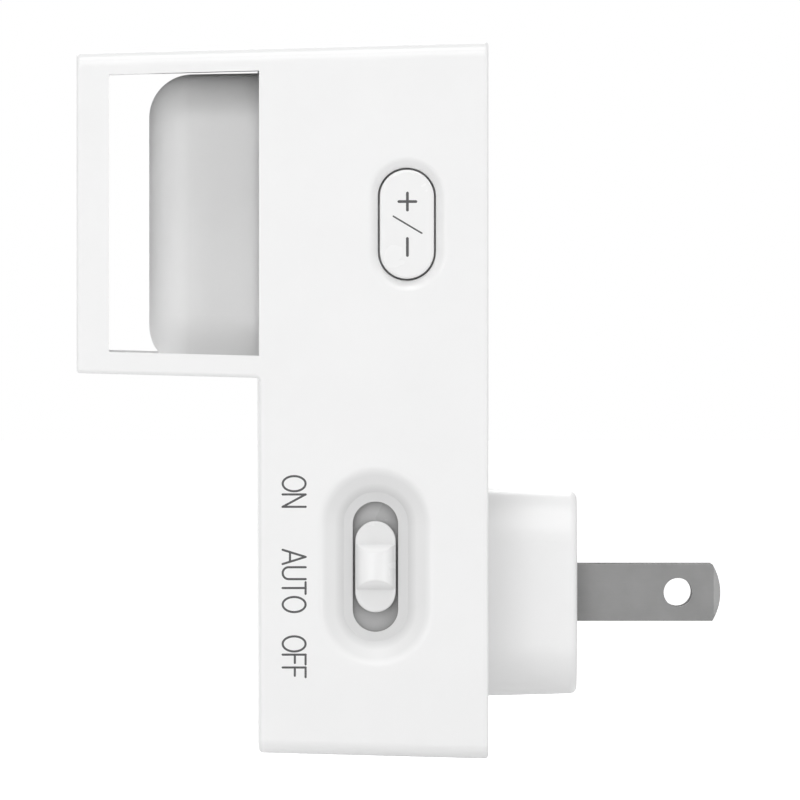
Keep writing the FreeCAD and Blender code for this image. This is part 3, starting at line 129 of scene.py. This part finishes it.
class Surface:
    """A Principled material with helpers for procedural detail in object space."""

    def __init__(self, name, color, roughness, metallic=0.0):
        self.material = bpy.data.materials.new(name)
        self.material.use_nodes = True
        self.tree = self.material.node_tree
        self.shader = self.tree.nodes["Principled BSDF"]
        self.color = color
        self.roughness = roughness
        self.set("Metallic", metallic)
        self.place = self.tree.nodes.new("ShaderNodeTexCoord").outputs["Object"]
        self.relief = None
        self.tint = None

    def set(self, socket, value):
        self.shader.inputs[socket].default_value = value

    def join(self, source, target):
        self.tree.links.new(source, target)

    def feed(self, source, socket):
        self.join(source, self.shader.inputs[socket])

    def tinted(self, color):
        """Make this the base colour, and the one that the next layer starts from."""
        self.tint = color
        self.feed(color, "Base Color")
        return color

    def calculate(self, operation, first, second=0.0):
        return calculate(self.tree, operation, first, second)

    def axes(self):
        split = self.tree.nodes.new("ShaderNodeSeparateXYZ")
        self.join(self.place, split.inputs[0])
        return split.outputs

    def scaled(self, stretch):
        mapping = self.tree.nodes.new("ShaderNodeMapping")
        mapping.inputs["Scale"].default_value = stretch
        self.join(self.place, mapping.inputs["Vector"])
        return mapping.outputs["Vector"]

    def noise(self, size, detail=3.0, stretch=(1, 1, 1)):
        """Noise whose lumps are about as large as size, in metres."""
        texture = self.tree.nodes.new("ShaderNodeTexNoise")
        texture.inputs["Scale"].default_value = 1 / size
        texture.inputs["Detail"].default_value = detail
        self.join(self.scaled(stretch), texture.inputs["Vector"])
        return texture.outputs["Fac"]

    def cell_edges(self, size):
        """Distance to the edges of cells about as large as size, in metres."""
        texture = self.tree.nodes.new("ShaderNodeTexVoronoi")
        texture.feature = "DISTANCE_TO_EDGE"
        texture.inputs["Scale"].default_value = 1 / size
        self.join(self.scaled((1, 1, 1)), texture.inputs["Vector"])
        return texture.outputs["Distance"]

    def spread(self, value, low, high, start=0.3, stop=0.7):
        """Map start to stop onto low to high, and hold the ends."""
        ramp = self.tree.nodes.new("ShaderNodeMapRange")
        ramp.inputs["From Min"].default_value = start
        ramp.inputs["From Max"].default_value = stop
        ramp.inputs["To Min"].default_value = low
        ramp.inputs["To Max"].default_value = high
        self.join(value, ramp.inputs["Value"])
        return ramp.outputs["Result"]

    def blend(self, share, first, second):
        """Mix two colours, each a tuple or a socket."""
        mix = self.tree.nodes.new("ShaderNodeMix")
        mix.data_type = "RGBA"
        self.join(share, mix.inputs["Factor"])
        for socket, color in zip((mix.inputs[6], mix.inputs[7]), (first, second)):
            if isinstance(color, tuple):
                socket.default_value = (*color, 1)
            else:
                self.join(color, socket)
        return mix.outputs[2]

    def shade(self, amount):
        return tuple(channel * (1 + amount) for channel in self.color)

    def mottle(self, size, amount):
        """Slow drift of the colour round its mean."""
        share = self.spread(self.noise(size), 0.0, 1.0)
        return self.tinted(self.blend(share, self.shade(-amount), self.shade(amount)))

    def paint_recess_shade(self, reach, amount):
        """Deepen the colour in grooves and corners by ambient occlusion: painted shade, fitted to
        the photograph.
        """
        hollow = self.tree.nodes.new("ShaderNodeAmbientOcclusion")
        hollow.inputs["Distance"].default_value = reach
        share = self.spread(hollow.outputs["AO"], 0.0, 1.0, OCCLUDED, OPEN)
        self.tinted(self.blend(share, self.shade(-amount), self.tint))

    def paint_front_light(self, start, stop, amount):
        """Make the front of the dome paler: painted light, fitted to the photograph."""
        share = self.spread(self.axes()["X"], 1.0, 0.0, start, stop)
        self.tinted(self.blend(share, self.tint, self.shade(amount)))

    def paint_switch_shade(self, depths, amount):
        """Deepen the colour round the switch, by depth under the side: painted shade too."""
        x, y, z = self.axes()
        lean = self.calculate(
            "MULTIPLY", self.calculate("SUBTRACT", x, BODY_BACK), math.tan(DRAFT)
        )
        depth = self.calculate("ADD", self.calculate("SUBTRACT", y, SIDE_AT_BACK), lean)
        share = self.spread(depth, 0.0, 1.0, *depths)
        near = self.calculate("LESS_THAN", y, CONTROL_SIDE_ONLY)
        share = self.calculate("MULTIPLY", share, near)
        for place, middle, reach in zip((x, z), SWITCH_MIDDLE, SWITCH_REACH):
            off = self.calculate("ABSOLUTE", self.calculate("SUBTRACT", place, middle))
            inside = self.calculate("LESS_THAN", off, reach)
            share = self.calculate("MULTIPLY", share, inside)
        self.tinted(self.blend(share, self.tint, self.shade(-amount)))

    def uneven(self, size, amount):
        """Slow drift of the roughness round its mean."""
        low, high = self.roughness - amount, self.roughness + amount
        gloss = self.spread(self.noise(size), low, high, GLOSS_START, GLOSS_STOP)
        self.feed(gloss, "Roughness")

    def soften(self, radius):
        """Round the look of sharp edges by a small radius."""
        node = self.tree.nodes.new("ShaderNodeBevel")
        node.inputs["Radius"].default_value = radius
        self.relief = node.outputs["Normal"]

    def bump(self, value, height, strength):
        node = self.tree.nodes.new("ShaderNodeBump")
        node.inputs["Strength"].default_value = strength
        node.inputs["Distance"].default_value = height
        self.join(value, node.inputs["Height"])
        if self.relief:
            self.join(self.relief, node.inputs["Normal"])
        self.relief = node.outputs["Normal"]
        self.feed(self.relief, "Normal")


WHITE = (0.87, 0.87, 0.87)
FLOW_SIZE = 9 * MM
FLOW_DRIFT = 0.008
SHEEN_SIZE = 5 * MM
SHEEN_DRIFT = 0.015
GRAIN_DETAIL = 2.0
GRAIN_HEIGHT = 0.002 * MM
WAVE_SIZE = 6 * MM
WAVE_DETAIL = 1.0
WAVE_HEIGHT = 0.01 * MM
WAVE_STRENGTH = 0.25


def moulded(name, color, roughness, spark=0.4, grain=0.12, edge=0.0):
    """Injection-moulded plastic; grain size and edge radius in millimetres."""
    made = Surface(name, color, roughness)
    if edge:
        made.soften(edge * MM)
    made.mottle(FLOW_SIZE, FLOW_DRIFT)
    made.uneven(SHEEN_SIZE, SHEEN_DRIFT)
    made.bump(made.noise(grain * MM, GRAIN_DETAIL), GRAIN_HEIGHT, spark)
    made.bump(made.noise(WAVE_SIZE, WAVE_DETAIL), WAVE_HEIGHT, WAVE_STRENGTH)
    return made


shell = moulded("white_shell", WHITE, 0.31)
# Painted shade: the switch dish's slope and ledge are darkened by depth
shell.paint_switch_shade(DISH_SLOPE, amount=0.08)
shell.paint_switch_shade(DISH_LEDGE, amount=0.24)
cover = moulded("white_cover", WHITE, 0.36, spark=0.5, grain=0.16)
control = moulded("white_control", WHITE, 0.27, spark=0.3, grain=0.1)
knob = moulded("white_knob", WHITE, 0.27, spark=0.3, grain=0.1, edge=0.3)
# Painted shade: the knob is darkened by its depth in the slot
knob.paint_switch_shade(SLOT_DEPTHS, amount=0.17)
# Painted shade: the knob's colour is darkened in its grooves and corners
knob.paint_recess_shade(reach=3.2 * MM, amount=0.55)
holder = moulded("black_plastic", (0.03, 0.03, 0.032), 0.45, spark=0.8, grain=0.15)
film = moulded("film_capacitor", (0.42, 0.13, 0.07), 0.28, spark=0.5, grain=0.3)
sleeve = moulded("can_sleeve", (0.035, 0.045, 0.075), 0.3, spark=0.3, grain=0.1)

frosted = Surface("frosted_diffuser", (0.745, 0.745, 0.745), 0.45)
frosted.mottle(7 * MM, amount=0.01)
# Painted light: the dome's front rounding is coloured paler
frosted.paint_front_light(start=-47.0 * MM, stop=-43.2 * MM, amount=0.33)
frosted.uneven(2 * MM, amount=0.05)
frosted.bump(frosted.noise(0.18 * MM, detail=2.0), height=0.003 * MM, strength=0.5)
frosted.set("IOR", 1.49)
frosted.set("Transmission Weight", 0.04)
frosted.set("Sheen Weight", 0.5)
frosted.set("Sheen Roughness", 0.4)
frosted.set("Subsurface Weight", 0.8)
frosted.set("Subsurface Radius", (1, 1, 1))
frosted.set("Subsurface Scale", 3.0 * MM)

bright = Surface("white_reflector", (0.9, 0.9, 0.9), 0.18)
bright.mottle(5 * MM, amount=0.006)
bright.uneven(1.5 * MM, amount=0.04)
bright.bump(bright.noise(0.3 * MM, detail=2.0), height=0.002 * MM, strength=0.3)

# Blades: a dull nickel plate with fine rolling lines along the blade
plate = Surface("nickel_plated_blade", (0.225, 0.225, 0.224), 0.36, metallic=1.0)
plate.mottle(3 * MM, amount=0.05)
rolling = plate.noise(0.08 * MM, stretch=(0.04, 1, 1))
plate.feed(plate.spread(rolling, low=0.3, high=0.44), "Roughness")
plate.bump(rolling, height=0.002 * MM, strength=0.5)

steel = Surface("plated_steel", (0.55, 0.56, 0.57), 0.3, metallic=1.0)
steel.mottle(0.9 * MM, amount=0.07)
steel.uneven(0.5 * MM, amount=0.08)
steel.bump(steel.noise(0.1 * MM), height=0.002 * MM, strength=0.5)


def board(name, mask, trace):
    """Circuit board: glass weave under a solder mask, with copper tracks showing through it."""
    made = Surface(name, mask, 0.35)
    base = made.mottle(4 * MM, amount=0.05)
    tracks = made.spread(made.cell_edges(3.2 * MM), low=1.0, high=0.0, start=0.10, stop=0.14)
    made.tinted(made.blend(tracks, base, trace))
    made.uneven(1.2 * MM, amount=0.06)
    weave = made.noise(0.35 * MM, detail=1.0, stretch=(1, 1, 0.3))
    made.bump(weave, height=0.004 * MM, strength=0.5)
    made.bump(tracks, height=0.03 * MM, strength=0.6)
    return made


green = board("circuit_board", (0.02, 0.14, 0.06), (0.05, 0.26, 0.11))
pale = board("light_board_mask", (0.8, 0.8, 0.78), (0.72, 0.72, 0.7))

phosphor = Surface("light_source", (0.86, 0.68, 0.16), 0.4)
phosphor.mottle(0.5 * MM, amount=0.12)
phosphor.uneven(0.4 * MM, amount=0.1)
phosphor.bump(phosphor.noise(0.1 * MM), height=0.01 * MM, strength=0.6)

cell = Surface("photocell", (0.35, 0.12, 0.05), 0.3)
stripes = cell.noise(0.5 * MM, detail=0.0, stretch=(0.2, 1, 0.2))
stripe_share = cell.spread(stripes, low=0, high=1, start=0.45, stop=0.55)
cell.tinted(cell.blend(stripe_share, (0.3, 0.1, 0.04), (0.75, 0.6, 0.4)))
cell.uneven(0.8 * MM, amount=0.06)
cell.bump(stripes, height=0.01 * MM, strength=0.4)

lens = Surface("sensor_lens", (0.66, 0.67, 0.68), 0.2)
lens.mottle(2 * MM, amount=0.02)
lens.uneven(1 * MM, amount=0.05)
lens.bump(lens.noise(0.2 * MM), height=0.002 * MM, strength=0.4)
lens.set("Transmission Weight", 0.3)

lacquer = Surface("resistor_body", (0.18, 0.33, 0.22), 0.3)
bands = lacquer.noise(1.3 * MM, detail=0.0, stretch=(0.001, 0.001, 1))
band_share = lacquer.spread(bands, low=0, high=1, start=0.52, stop=0.54)
lacquer.tinted(lacquer.blend(band_share, lacquer.color, (0.5, 0.36, 0.08)))
lacquer.uneven(1 * MM, amount=0.06)
lacquer.bump(lacquer.noise(0.4 * MM), height=0.01 * MM, strength=0.4)

ink = Surface("printed_mark", (0.08, 0.08, 0.082), 0.5)
ink.mottle(0.6 * MM, amount=0.06)
ink.uneven(0.5 * MM, amount=0.06)
ink.bump(ink.noise(0.08 * MM), height=0.002 * MM, strength=0.5)

BY_SLOT = {
    "white_shell": shell,
    "white_control": control,
    "frosted_diffuser": frosted,
    "white_reflector": bright,
    "circuit_board": green,
    "light_source": phosphor,
    "plated_steel": steel,
    "black_plastic": holder,
    "photocell": cell,
    "sensor_lens": lens,
    "nickel_plated_blade": plate,
    "film_capacitor": film,
    "resistor_body": lacquer,
}
BY_NODE = {
    "rear_cover": cover,
    "mode_knob": knob,
    "light_board": pale,
    "electrolytic_capacitor": sleeve,
}
for name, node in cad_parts.items():
    slot = node.data.materials[0].name.split(".")[0]
    chosen = BY_NODE.get(name) or BY_SLOT[slot]
    node.data.materials.clear()
    node.data.materials.append(chosen.material)


def add_piece(name, vertices, faces, surface):
    mesh = bpy.data.meshes.new(name)
    mesh.from_pydata(vertices, [], faces)
    mesh.update()
    mesh.materials.append(surface.material)
    piece = bpy.data.objects.new(name, mesh)
    scene.collection.objects.link(piece)
    return piece


def smooth(piece):
    for polygon in piece.data.polygons:
        polygon.use_smooth = True


# Printed strokes that lie on a surface of the CAD model
class Carrier:
    """The control side of a node, sampled by rays from outside it."""

    def __init__(self, node):
        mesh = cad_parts[node].data
        corners = [vertex.co.copy() for vertex in mesh.vertices]
        polygons = [polygon.vertices[:] for polygon in mesh.polygons]
        self.tree = BVHTree.FromPolygons(corners, polygons)

    def level(self, x, z):
        return self.tree.ray_cast(Vector((x, -1.0, z)), Vector((0, 1, 0)))[0].y


STROKE_SIDES = (-1.0, -0.8, -0.4, 0.0, 0.4, 0.8, 1.0)
CAP_STEPS = 6
ARC_STEPS = 40
LINE_STEPS = 8
PRINT_HEIGHT = 0.02 * MM
PRINT_SINK = 0.01 * MM


def ribbon(vertices, faces, line, half, carrier):
    """Add a raised stroke with round ends along a line of (x, z) points."""
    stations = []
    first, last = Vector(line[0]), Vector(line[-1])
    lead = (Vector(line[1]) - first).normalized()
    trail = (last - Vector(line[-2])).normalized()
    for step in range(CAP_STEPS):
        turn = step / CAP_STEPS * math.pi / 2
        stations.append((first - lead * half * math.cos(turn), lead, math.sin(turn)))
    for index, point in enumerate(line):
        before = Vector(line[max(index - 1, 0)])
        after = Vector(line[min(index + 1, len(line) - 1)])
        stations.append((Vector(point), (after - before).normalized(), 1.0))
    for step in range(CAP_STEPS - 1, -1, -1):
        turn = step / CAP_STEPS * math.pi / 2
        stations.append((last + trail * half * math.cos(turn), trail, math.sin(turn)))
    start = len(vertices)
    for middle, way, width in stations:
        normal = Vector((-way.y, way.x))
        for side in STROKE_SIDES:
            spot = middle + normal * side * half * width
            buried = abs(side) == 1 or width == 0
            rise = PRINT_HEIGHT * width * (1 - side**4) - PRINT_SINK * buried
            vertices.append((spot.x, carrier.level(spot.x, spot.y) - rise, spot.y))
    row = len(STROKE_SIDES)
    for index in range(len(stations) - 1):
        for side in range(row - 1):
            corner = start + index * row + side
            faces.append((corner, corner + row, corner + row + 1, corner + 1))


def arc(middle, radii, start, stop):
    """Points of an arc of an ellipse, angles in degrees."""
    points = []
    for step in range(ARC_STEPS + 1):
        turn = math.radians(start + (stop - start) * step / ARC_STEPS)
        x = middle[0] + radii[0] * math.cos(turn)
        y = middle[1] + radii[1] * math.sin(turn)
        points.append((x, y))
    return points


def straight(first, last):
    points = []
    for step in range(LINE_STEPS + 1):
        x = first[0] + (last[0] - first[0]) * step / LINE_STEPS
        y = first[1] + (last[1] - first[1]) * step / LINE_STEPS
        points.append((x, y))
    return points


def in_world(points):
    return [(across(x), up(y)) for x, y in points]


def printed(name, body, lines, half_stroke, carrier):
    vertices, faces = [], []
    for line in lines:
        ribbon(vertices, faces, line, in_metres(half_stroke), carrier)
    piece = add_piece(name, vertices, faces, ink)
    smooth(piece)
    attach(piece, body)


# Plain single-stroke capitals: width, then strokes, in units of the cap height
ROUND_U = arc((0.26, 0.26), (0.26, 0.26), 180, 360)
LETTERS = {
    "O": (0.66, [arc((0.33, 0.5), (0.33, 0.5), 90, 450)]),
    "N": (0.54, [
        straight((0, 0), (0, 1)),
        straight((0, 1), (0.54, 0)),
        straight((0.54, 0), (0.54, 1)),
    ]),
    "A": (0.62, [
        straight((0, 0), (0.31, 1)),
        straight((0.31, 1), (0.62, 0)),
        straight((0.1, 0.32), (0.52, 0.32)),
    ]),
    "U": (0.52, [straight((0, 1), (0, 0.26)) + ROUND_U + straight((0.52, 0.26), (0.52, 1))]),
    "T": (0.5, [straight((0, 1), (0.5, 1)), straight((0.25, 1), (0.25, 0))]),
    "F": (0.42, [
        straight((0, 0), (0, 1)),
        straight((0, 1), (0.42, 1)),
        straight((0, 0.53), (0.36, 0.53)),
    ]),
}
LETTER_GAP = 0.14
TEXT_LEFT = 282.2
TEXT_CAP = 22.9
TEXT_HALF_STROKE = 1.2
WORDS = (("ON", 491.0), ("AUTO", 580.5), ("OFF", 656.3))

housing_side = Carrier("front_housing")
for word, row_middle in WORDS:
    length = sum(LETTERS[letter][0] for letter in word) + LETTER_GAP * (len(word) - 1)
    begin = row_middle - length * TEXT_CAP / 2
    lines = []
    for letter in word:
        width, strokes = LETTERS[letter]
        for stroke in strokes:
            turned = [(TEXT_LEFT + y * TEXT_CAP, begin + x * TEXT_CAP) for x, y in stroke]
            lines.append(in_world(turned))
        begin += (width + LETTER_GAP) * TEXT_CAP
    name = f"word_{word.lower()}"
    printed(name, "housing", lines, TEXT_HALF_STROKE, housing_side)

BUTTON_MIDDLE = 406.9
PLUS_MIDDLE = 201.05
MINUS_MIDDLE = 246.45
SIGN_REACH = 8.4
SIGN_HALF_STROKE = 1.55
DIVIDER = ((392.9, 215.8), (421.2, 232.6))
DIVIDER_HALF_STROKE = 0.9


def along(middle):
    """A bar of a sign, up the picture."""
    ends = (BUTTON_MIDDLE, middle - SIGN_REACH), (BUTTON_MIDDLE, middle + SIGN_REACH)
    return in_world(straight(*ends))


def over(middle):
    """A bar of a sign, across the picture."""
    ends = (BUTTON_MIDDLE - SIGN_REACH, middle), (BUTTON_MIDDLE + SIGN_REACH, middle)
    return in_world(straight(*ends))


button_face = Carrier("brightness_button")
signs = [along(PLUS_MIDDLE), over(PLUS_MIDDLE), along(MINUS_MIDDLE)]
divider = [in_world(straight(*DIVIDER))]
printed(
    "brighter_and_dimmer_marks", "button", signs, SIGN_HALF_STROKE, button_face
)
printed("mark_divider", "button", divider, DIVIDER_HALF_STROKE, button_face)


# Cross-recess screws in place of the plain solids
SCREW_SIDES = 72
HEAD_RINGS = 16
FLAT_SHARE = 0.86
SHOULDER_SHARE = 0.95
SHOULDER_DROP = 0.4
EDGE_DROP = 0.12
ARM_HALF = 0.13
ARM_REACH = 0.58
RECESS_DEPTH = 0.55
RECESS_SLOPE = 0.07
RECESS_DISHING = 0.6
THREAD_PITCH = 0.7 * MM
THREAD_ROOT = 0.76
THREAD_TURN = ((0.25, THREAD_ROOT), (0.7, THREAD_ROOT), (0.9, 1.0), (1.0, 1.0))
TIP_LENGTH = 1.2 * MM
TIP_SHARE = 0.15
SHARP_FROM = math.radians(35)


def recess_depth(u, v):
    """Depth of the cross recess at a point of the head, both as shares of the head's size."""
    upright = min(ARM_HALF - abs(u), ARM_REACH - abs(v))
    level = min(ARM_HALF - abs(v), ARM_REACH - abs(u))
    share = min(1.0, max(0.0, max(upright, level) / RECESS_SLOPE))
    return RECESS_DEPTH * share * (1 - math.hypot(u, v) * RECESS_DISHING)


def screw_profile(head, shank):
    """(radius, depth) from the top of the head to the tip."""
    head_radius, head_depth = head
    shank_radius, shank_length = shank
    profile = []
    for ring in range(1, HEAD_RINGS + 1):
        profile.append((head_radius * FLAT_SHARE * ring / HEAD_RINGS, 0.0))
    profile.append((head_radius * SHOULDER_SHARE, head_depth * EDGE_DROP * SHOULDER_DROP))
    profile.append((head_radius, head_depth * EDGE_DROP))
    profile.append((head_radius, head_depth))
    profile.append((shank_radius, head_depth))
    threaded = shank_length - TIP_LENGTH
    turns = int(threaded / THREAD_PITCH)
    for turn in range(turns):
        for share, radius in THREAD_TURN:
            depth = head_depth + (turn + share) * threaded / turns
            profile.append((shank_radius * radius, depth))
    profile.append((shank_radius * TIP_SHARE, head_depth + shank_length))
    return profile


def screw(vertices, faces, top, axis, head, shank):
    """Add a screw: top centre, direction of its point, and (radius, length) of head and shank."""
    side = axis.orthogonal().normalized()
    other = axis.cross(side)
    profile = screw_profile(head, shank)
    start = len(vertices)
    vertices.append(top + axis * RECESS_DEPTH * head[1])
    for radius, depth in profile:
        for step in range(SCREW_SIDES):
            turn = math.tau * step / SCREW_SIDES
            u, v = radius / head[0] * math.cos(turn), radius / head[0] * math.sin(turn)
            sunk = recess_depth(u, v) * head[1] if depth == 0 else 0.0
            vertices.append(top + side * u * head[0] + other * v * head[0] + axis * (depth + sunk))
    vertices.append(top + axis * (head[1] + shank[1]))
    for step in range(SCREW_SIDES):
        following = (step + 1) % SCREW_SIDES
        faces.append((start, start + 1 + following, start + 1 + step))
        for ring in range(len(profile) - 1):
            inner = start + 1 + ring * SCREW_SIDES
            outer = inner + SCREW_SIDES
            faces.append((inner + step, inner + following, outer + following, outer + step))
        last = start + 1 + (len(profile) - 1) * SCREW_SIDES
        faces.append((last + step, last + following, len(vertices) - 1))


def screws(name, node, tops, axis, head, shank):
    vertices, faces = [], []
    for top in tops:
        screw(vertices, faces, Vector(top), Vector(axis), head, shank)
    piece = add_piece(name, vertices, faces, steel)
    smooth(piece)
    piece.data.set_sharp_from_angle(angle=SHARP_FROM)
    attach(piece, "housing")
    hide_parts(node)


HOUSING_HEAD = (2.0 * MM, 1.2 * MM)
HOUSING_SHANK = (1.1 * MM, 9.0 * MM)
BOARD_HEAD = (1.6 * MM, 1.0 * MM)
BOARD_SHANK = (0.8 * MM, 5.0 * MM)

rim = HOUSING_HEAD[0]
low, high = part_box("housing_screws")
left_right = (low[1] + rim, high[1] - rim)
tops = [(high[0], y, z) for y in left_right for z in (low[2] + rim, high[2] - rim)]
screws("back_cross_screws", "housing_screws", tops, (-1, 0, 0), HOUSING_HEAD, HOUSING_SHANK)

rim = BOARD_HEAD[0]
low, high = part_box("control_board_screws")
tops = [(low[0] + rim, high[1], high[2] - rim), (high[0] - rim, high[1], low[2] + rim)]
screws(
    "control_board_cross_screws", "control_board_screws", tops, (0, -1, 0), BOARD_HEAD, BOARD_SHANK
)

low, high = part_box("light_board_screws")
tops = [(high[0], y, low[2] + rim) for y in (low[1] + rim, high[1] - rim)]
screws("light_board_cross_screws", "light_board_screws", tops, (-1, 0, 0), BOARD_HEAD, BOARD_SHANK)

low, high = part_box("power_board_screws")
tops = [(low[0], y, low[2] + rim) for y in (low[1] + rim, high[1] - rim)]
screws("power_board_cross_screws", "power_board_screws", tops, (1, 0, 0), BOARD_HEAD, BOARD_SHANK)


# Floor: keeps the object's shadow, and shows white beyond it
FLOOR_LEVEL = -28.5 * MM
FLOOR_HALF = 6.0
FLOOR_CORNERS = ((-1, -1), (1, -1), (1, 1), (-1, 1))
SHADOW_GLOW = 0.15
FAR_GLOW = 0.65
SHADOW_REACH = 0.15
FAR_REACH = 0.42

ground = Surface("floor", (0.9, 0.9, 0.9), 0.9)
ground.mottle(60 * MM, amount=0.01)
ground.set("Roughness", ground.roughness)
ground.set("Emission Color", (1, 1, 1, 1))
radius = ground.tree.nodes.new("ShaderNodeVectorMath")
radius.operation = "LENGTH"
ground.join(ground.place, radius.inputs[0])
glow = ground.spread(radius.outputs["Value"], SHADOW_GLOW, FAR_GLOW, SHADOW_REACH, FAR_REACH)
ground.feed(ground.calculate("MULTIPLY", glow, sight(ground.tree)), "Emission Strength")

corners = [(x * FLOOR_HALF, y * FLOOR_HALF, FLOOR_LEVEL) for x, y in FLOOR_CORNERS]
floor = add_piece("floor", corners, [(0, 1, 2, 3)], ground)


# World: white for camera, glossy and transmission rays, softer as a light
WORLD_LIGHT = 0.45
WORLD_SEEN = 1.0
world = bpy.data.worlds.new("studio")
scene.world = world
world.use_nodes = True
strength = world.node_tree.nodes.new("ShaderNodeMapRange")
world.node_tree.links.new(sight(world.node_tree), strength.inputs["Value"])
strength.inputs["To Min"].default_value = WORLD_LIGHT
strength.inputs["To Max"].default_value = WORLD_SEEN
background = world.node_tree.nodes["Background"]
background.inputs["Color"].default_value = (1, 1, 1, 1)
world.node_tree.links.new(strength.outputs["Result"], background.inputs["Strength"])


# Lamps: name, place, size in metres, power in watts
LAMPS = (
    ("key", (-0.2, -1.5, 1.2), 0.9, 7.5),
    ("fill", (-0.7, -1.6, 0.05), 0.9, 5.6),
    ("top", (-0.15, -0.5, 1.45), 0.24, 3.4),
    ("top_right", (0.55, -0.55, 1.2), 0.2, 1.3),
    ("rim", (1.0, -1.05, 0.1), 0.3, 1.2),
    ("back", (-0.3, 1.4, 0.9), 1.0, 9.0),
)
for name, place, size, power in LAMPS:
    data = bpy.data.lights.new(name, "AREA")
    data.size = size
    data.energy = power
    lamp = bpy.data.objects.new(name, data)
    scene.collection.objects.link(lamp)
    lamp.location = place
    lamp.rotation_euler = (aim - Vector(place)).to_track_quat("-Z", "Y").to_euler()
    lamp.visible_camera = False

scene.view_settings.view_transform = "Standard"
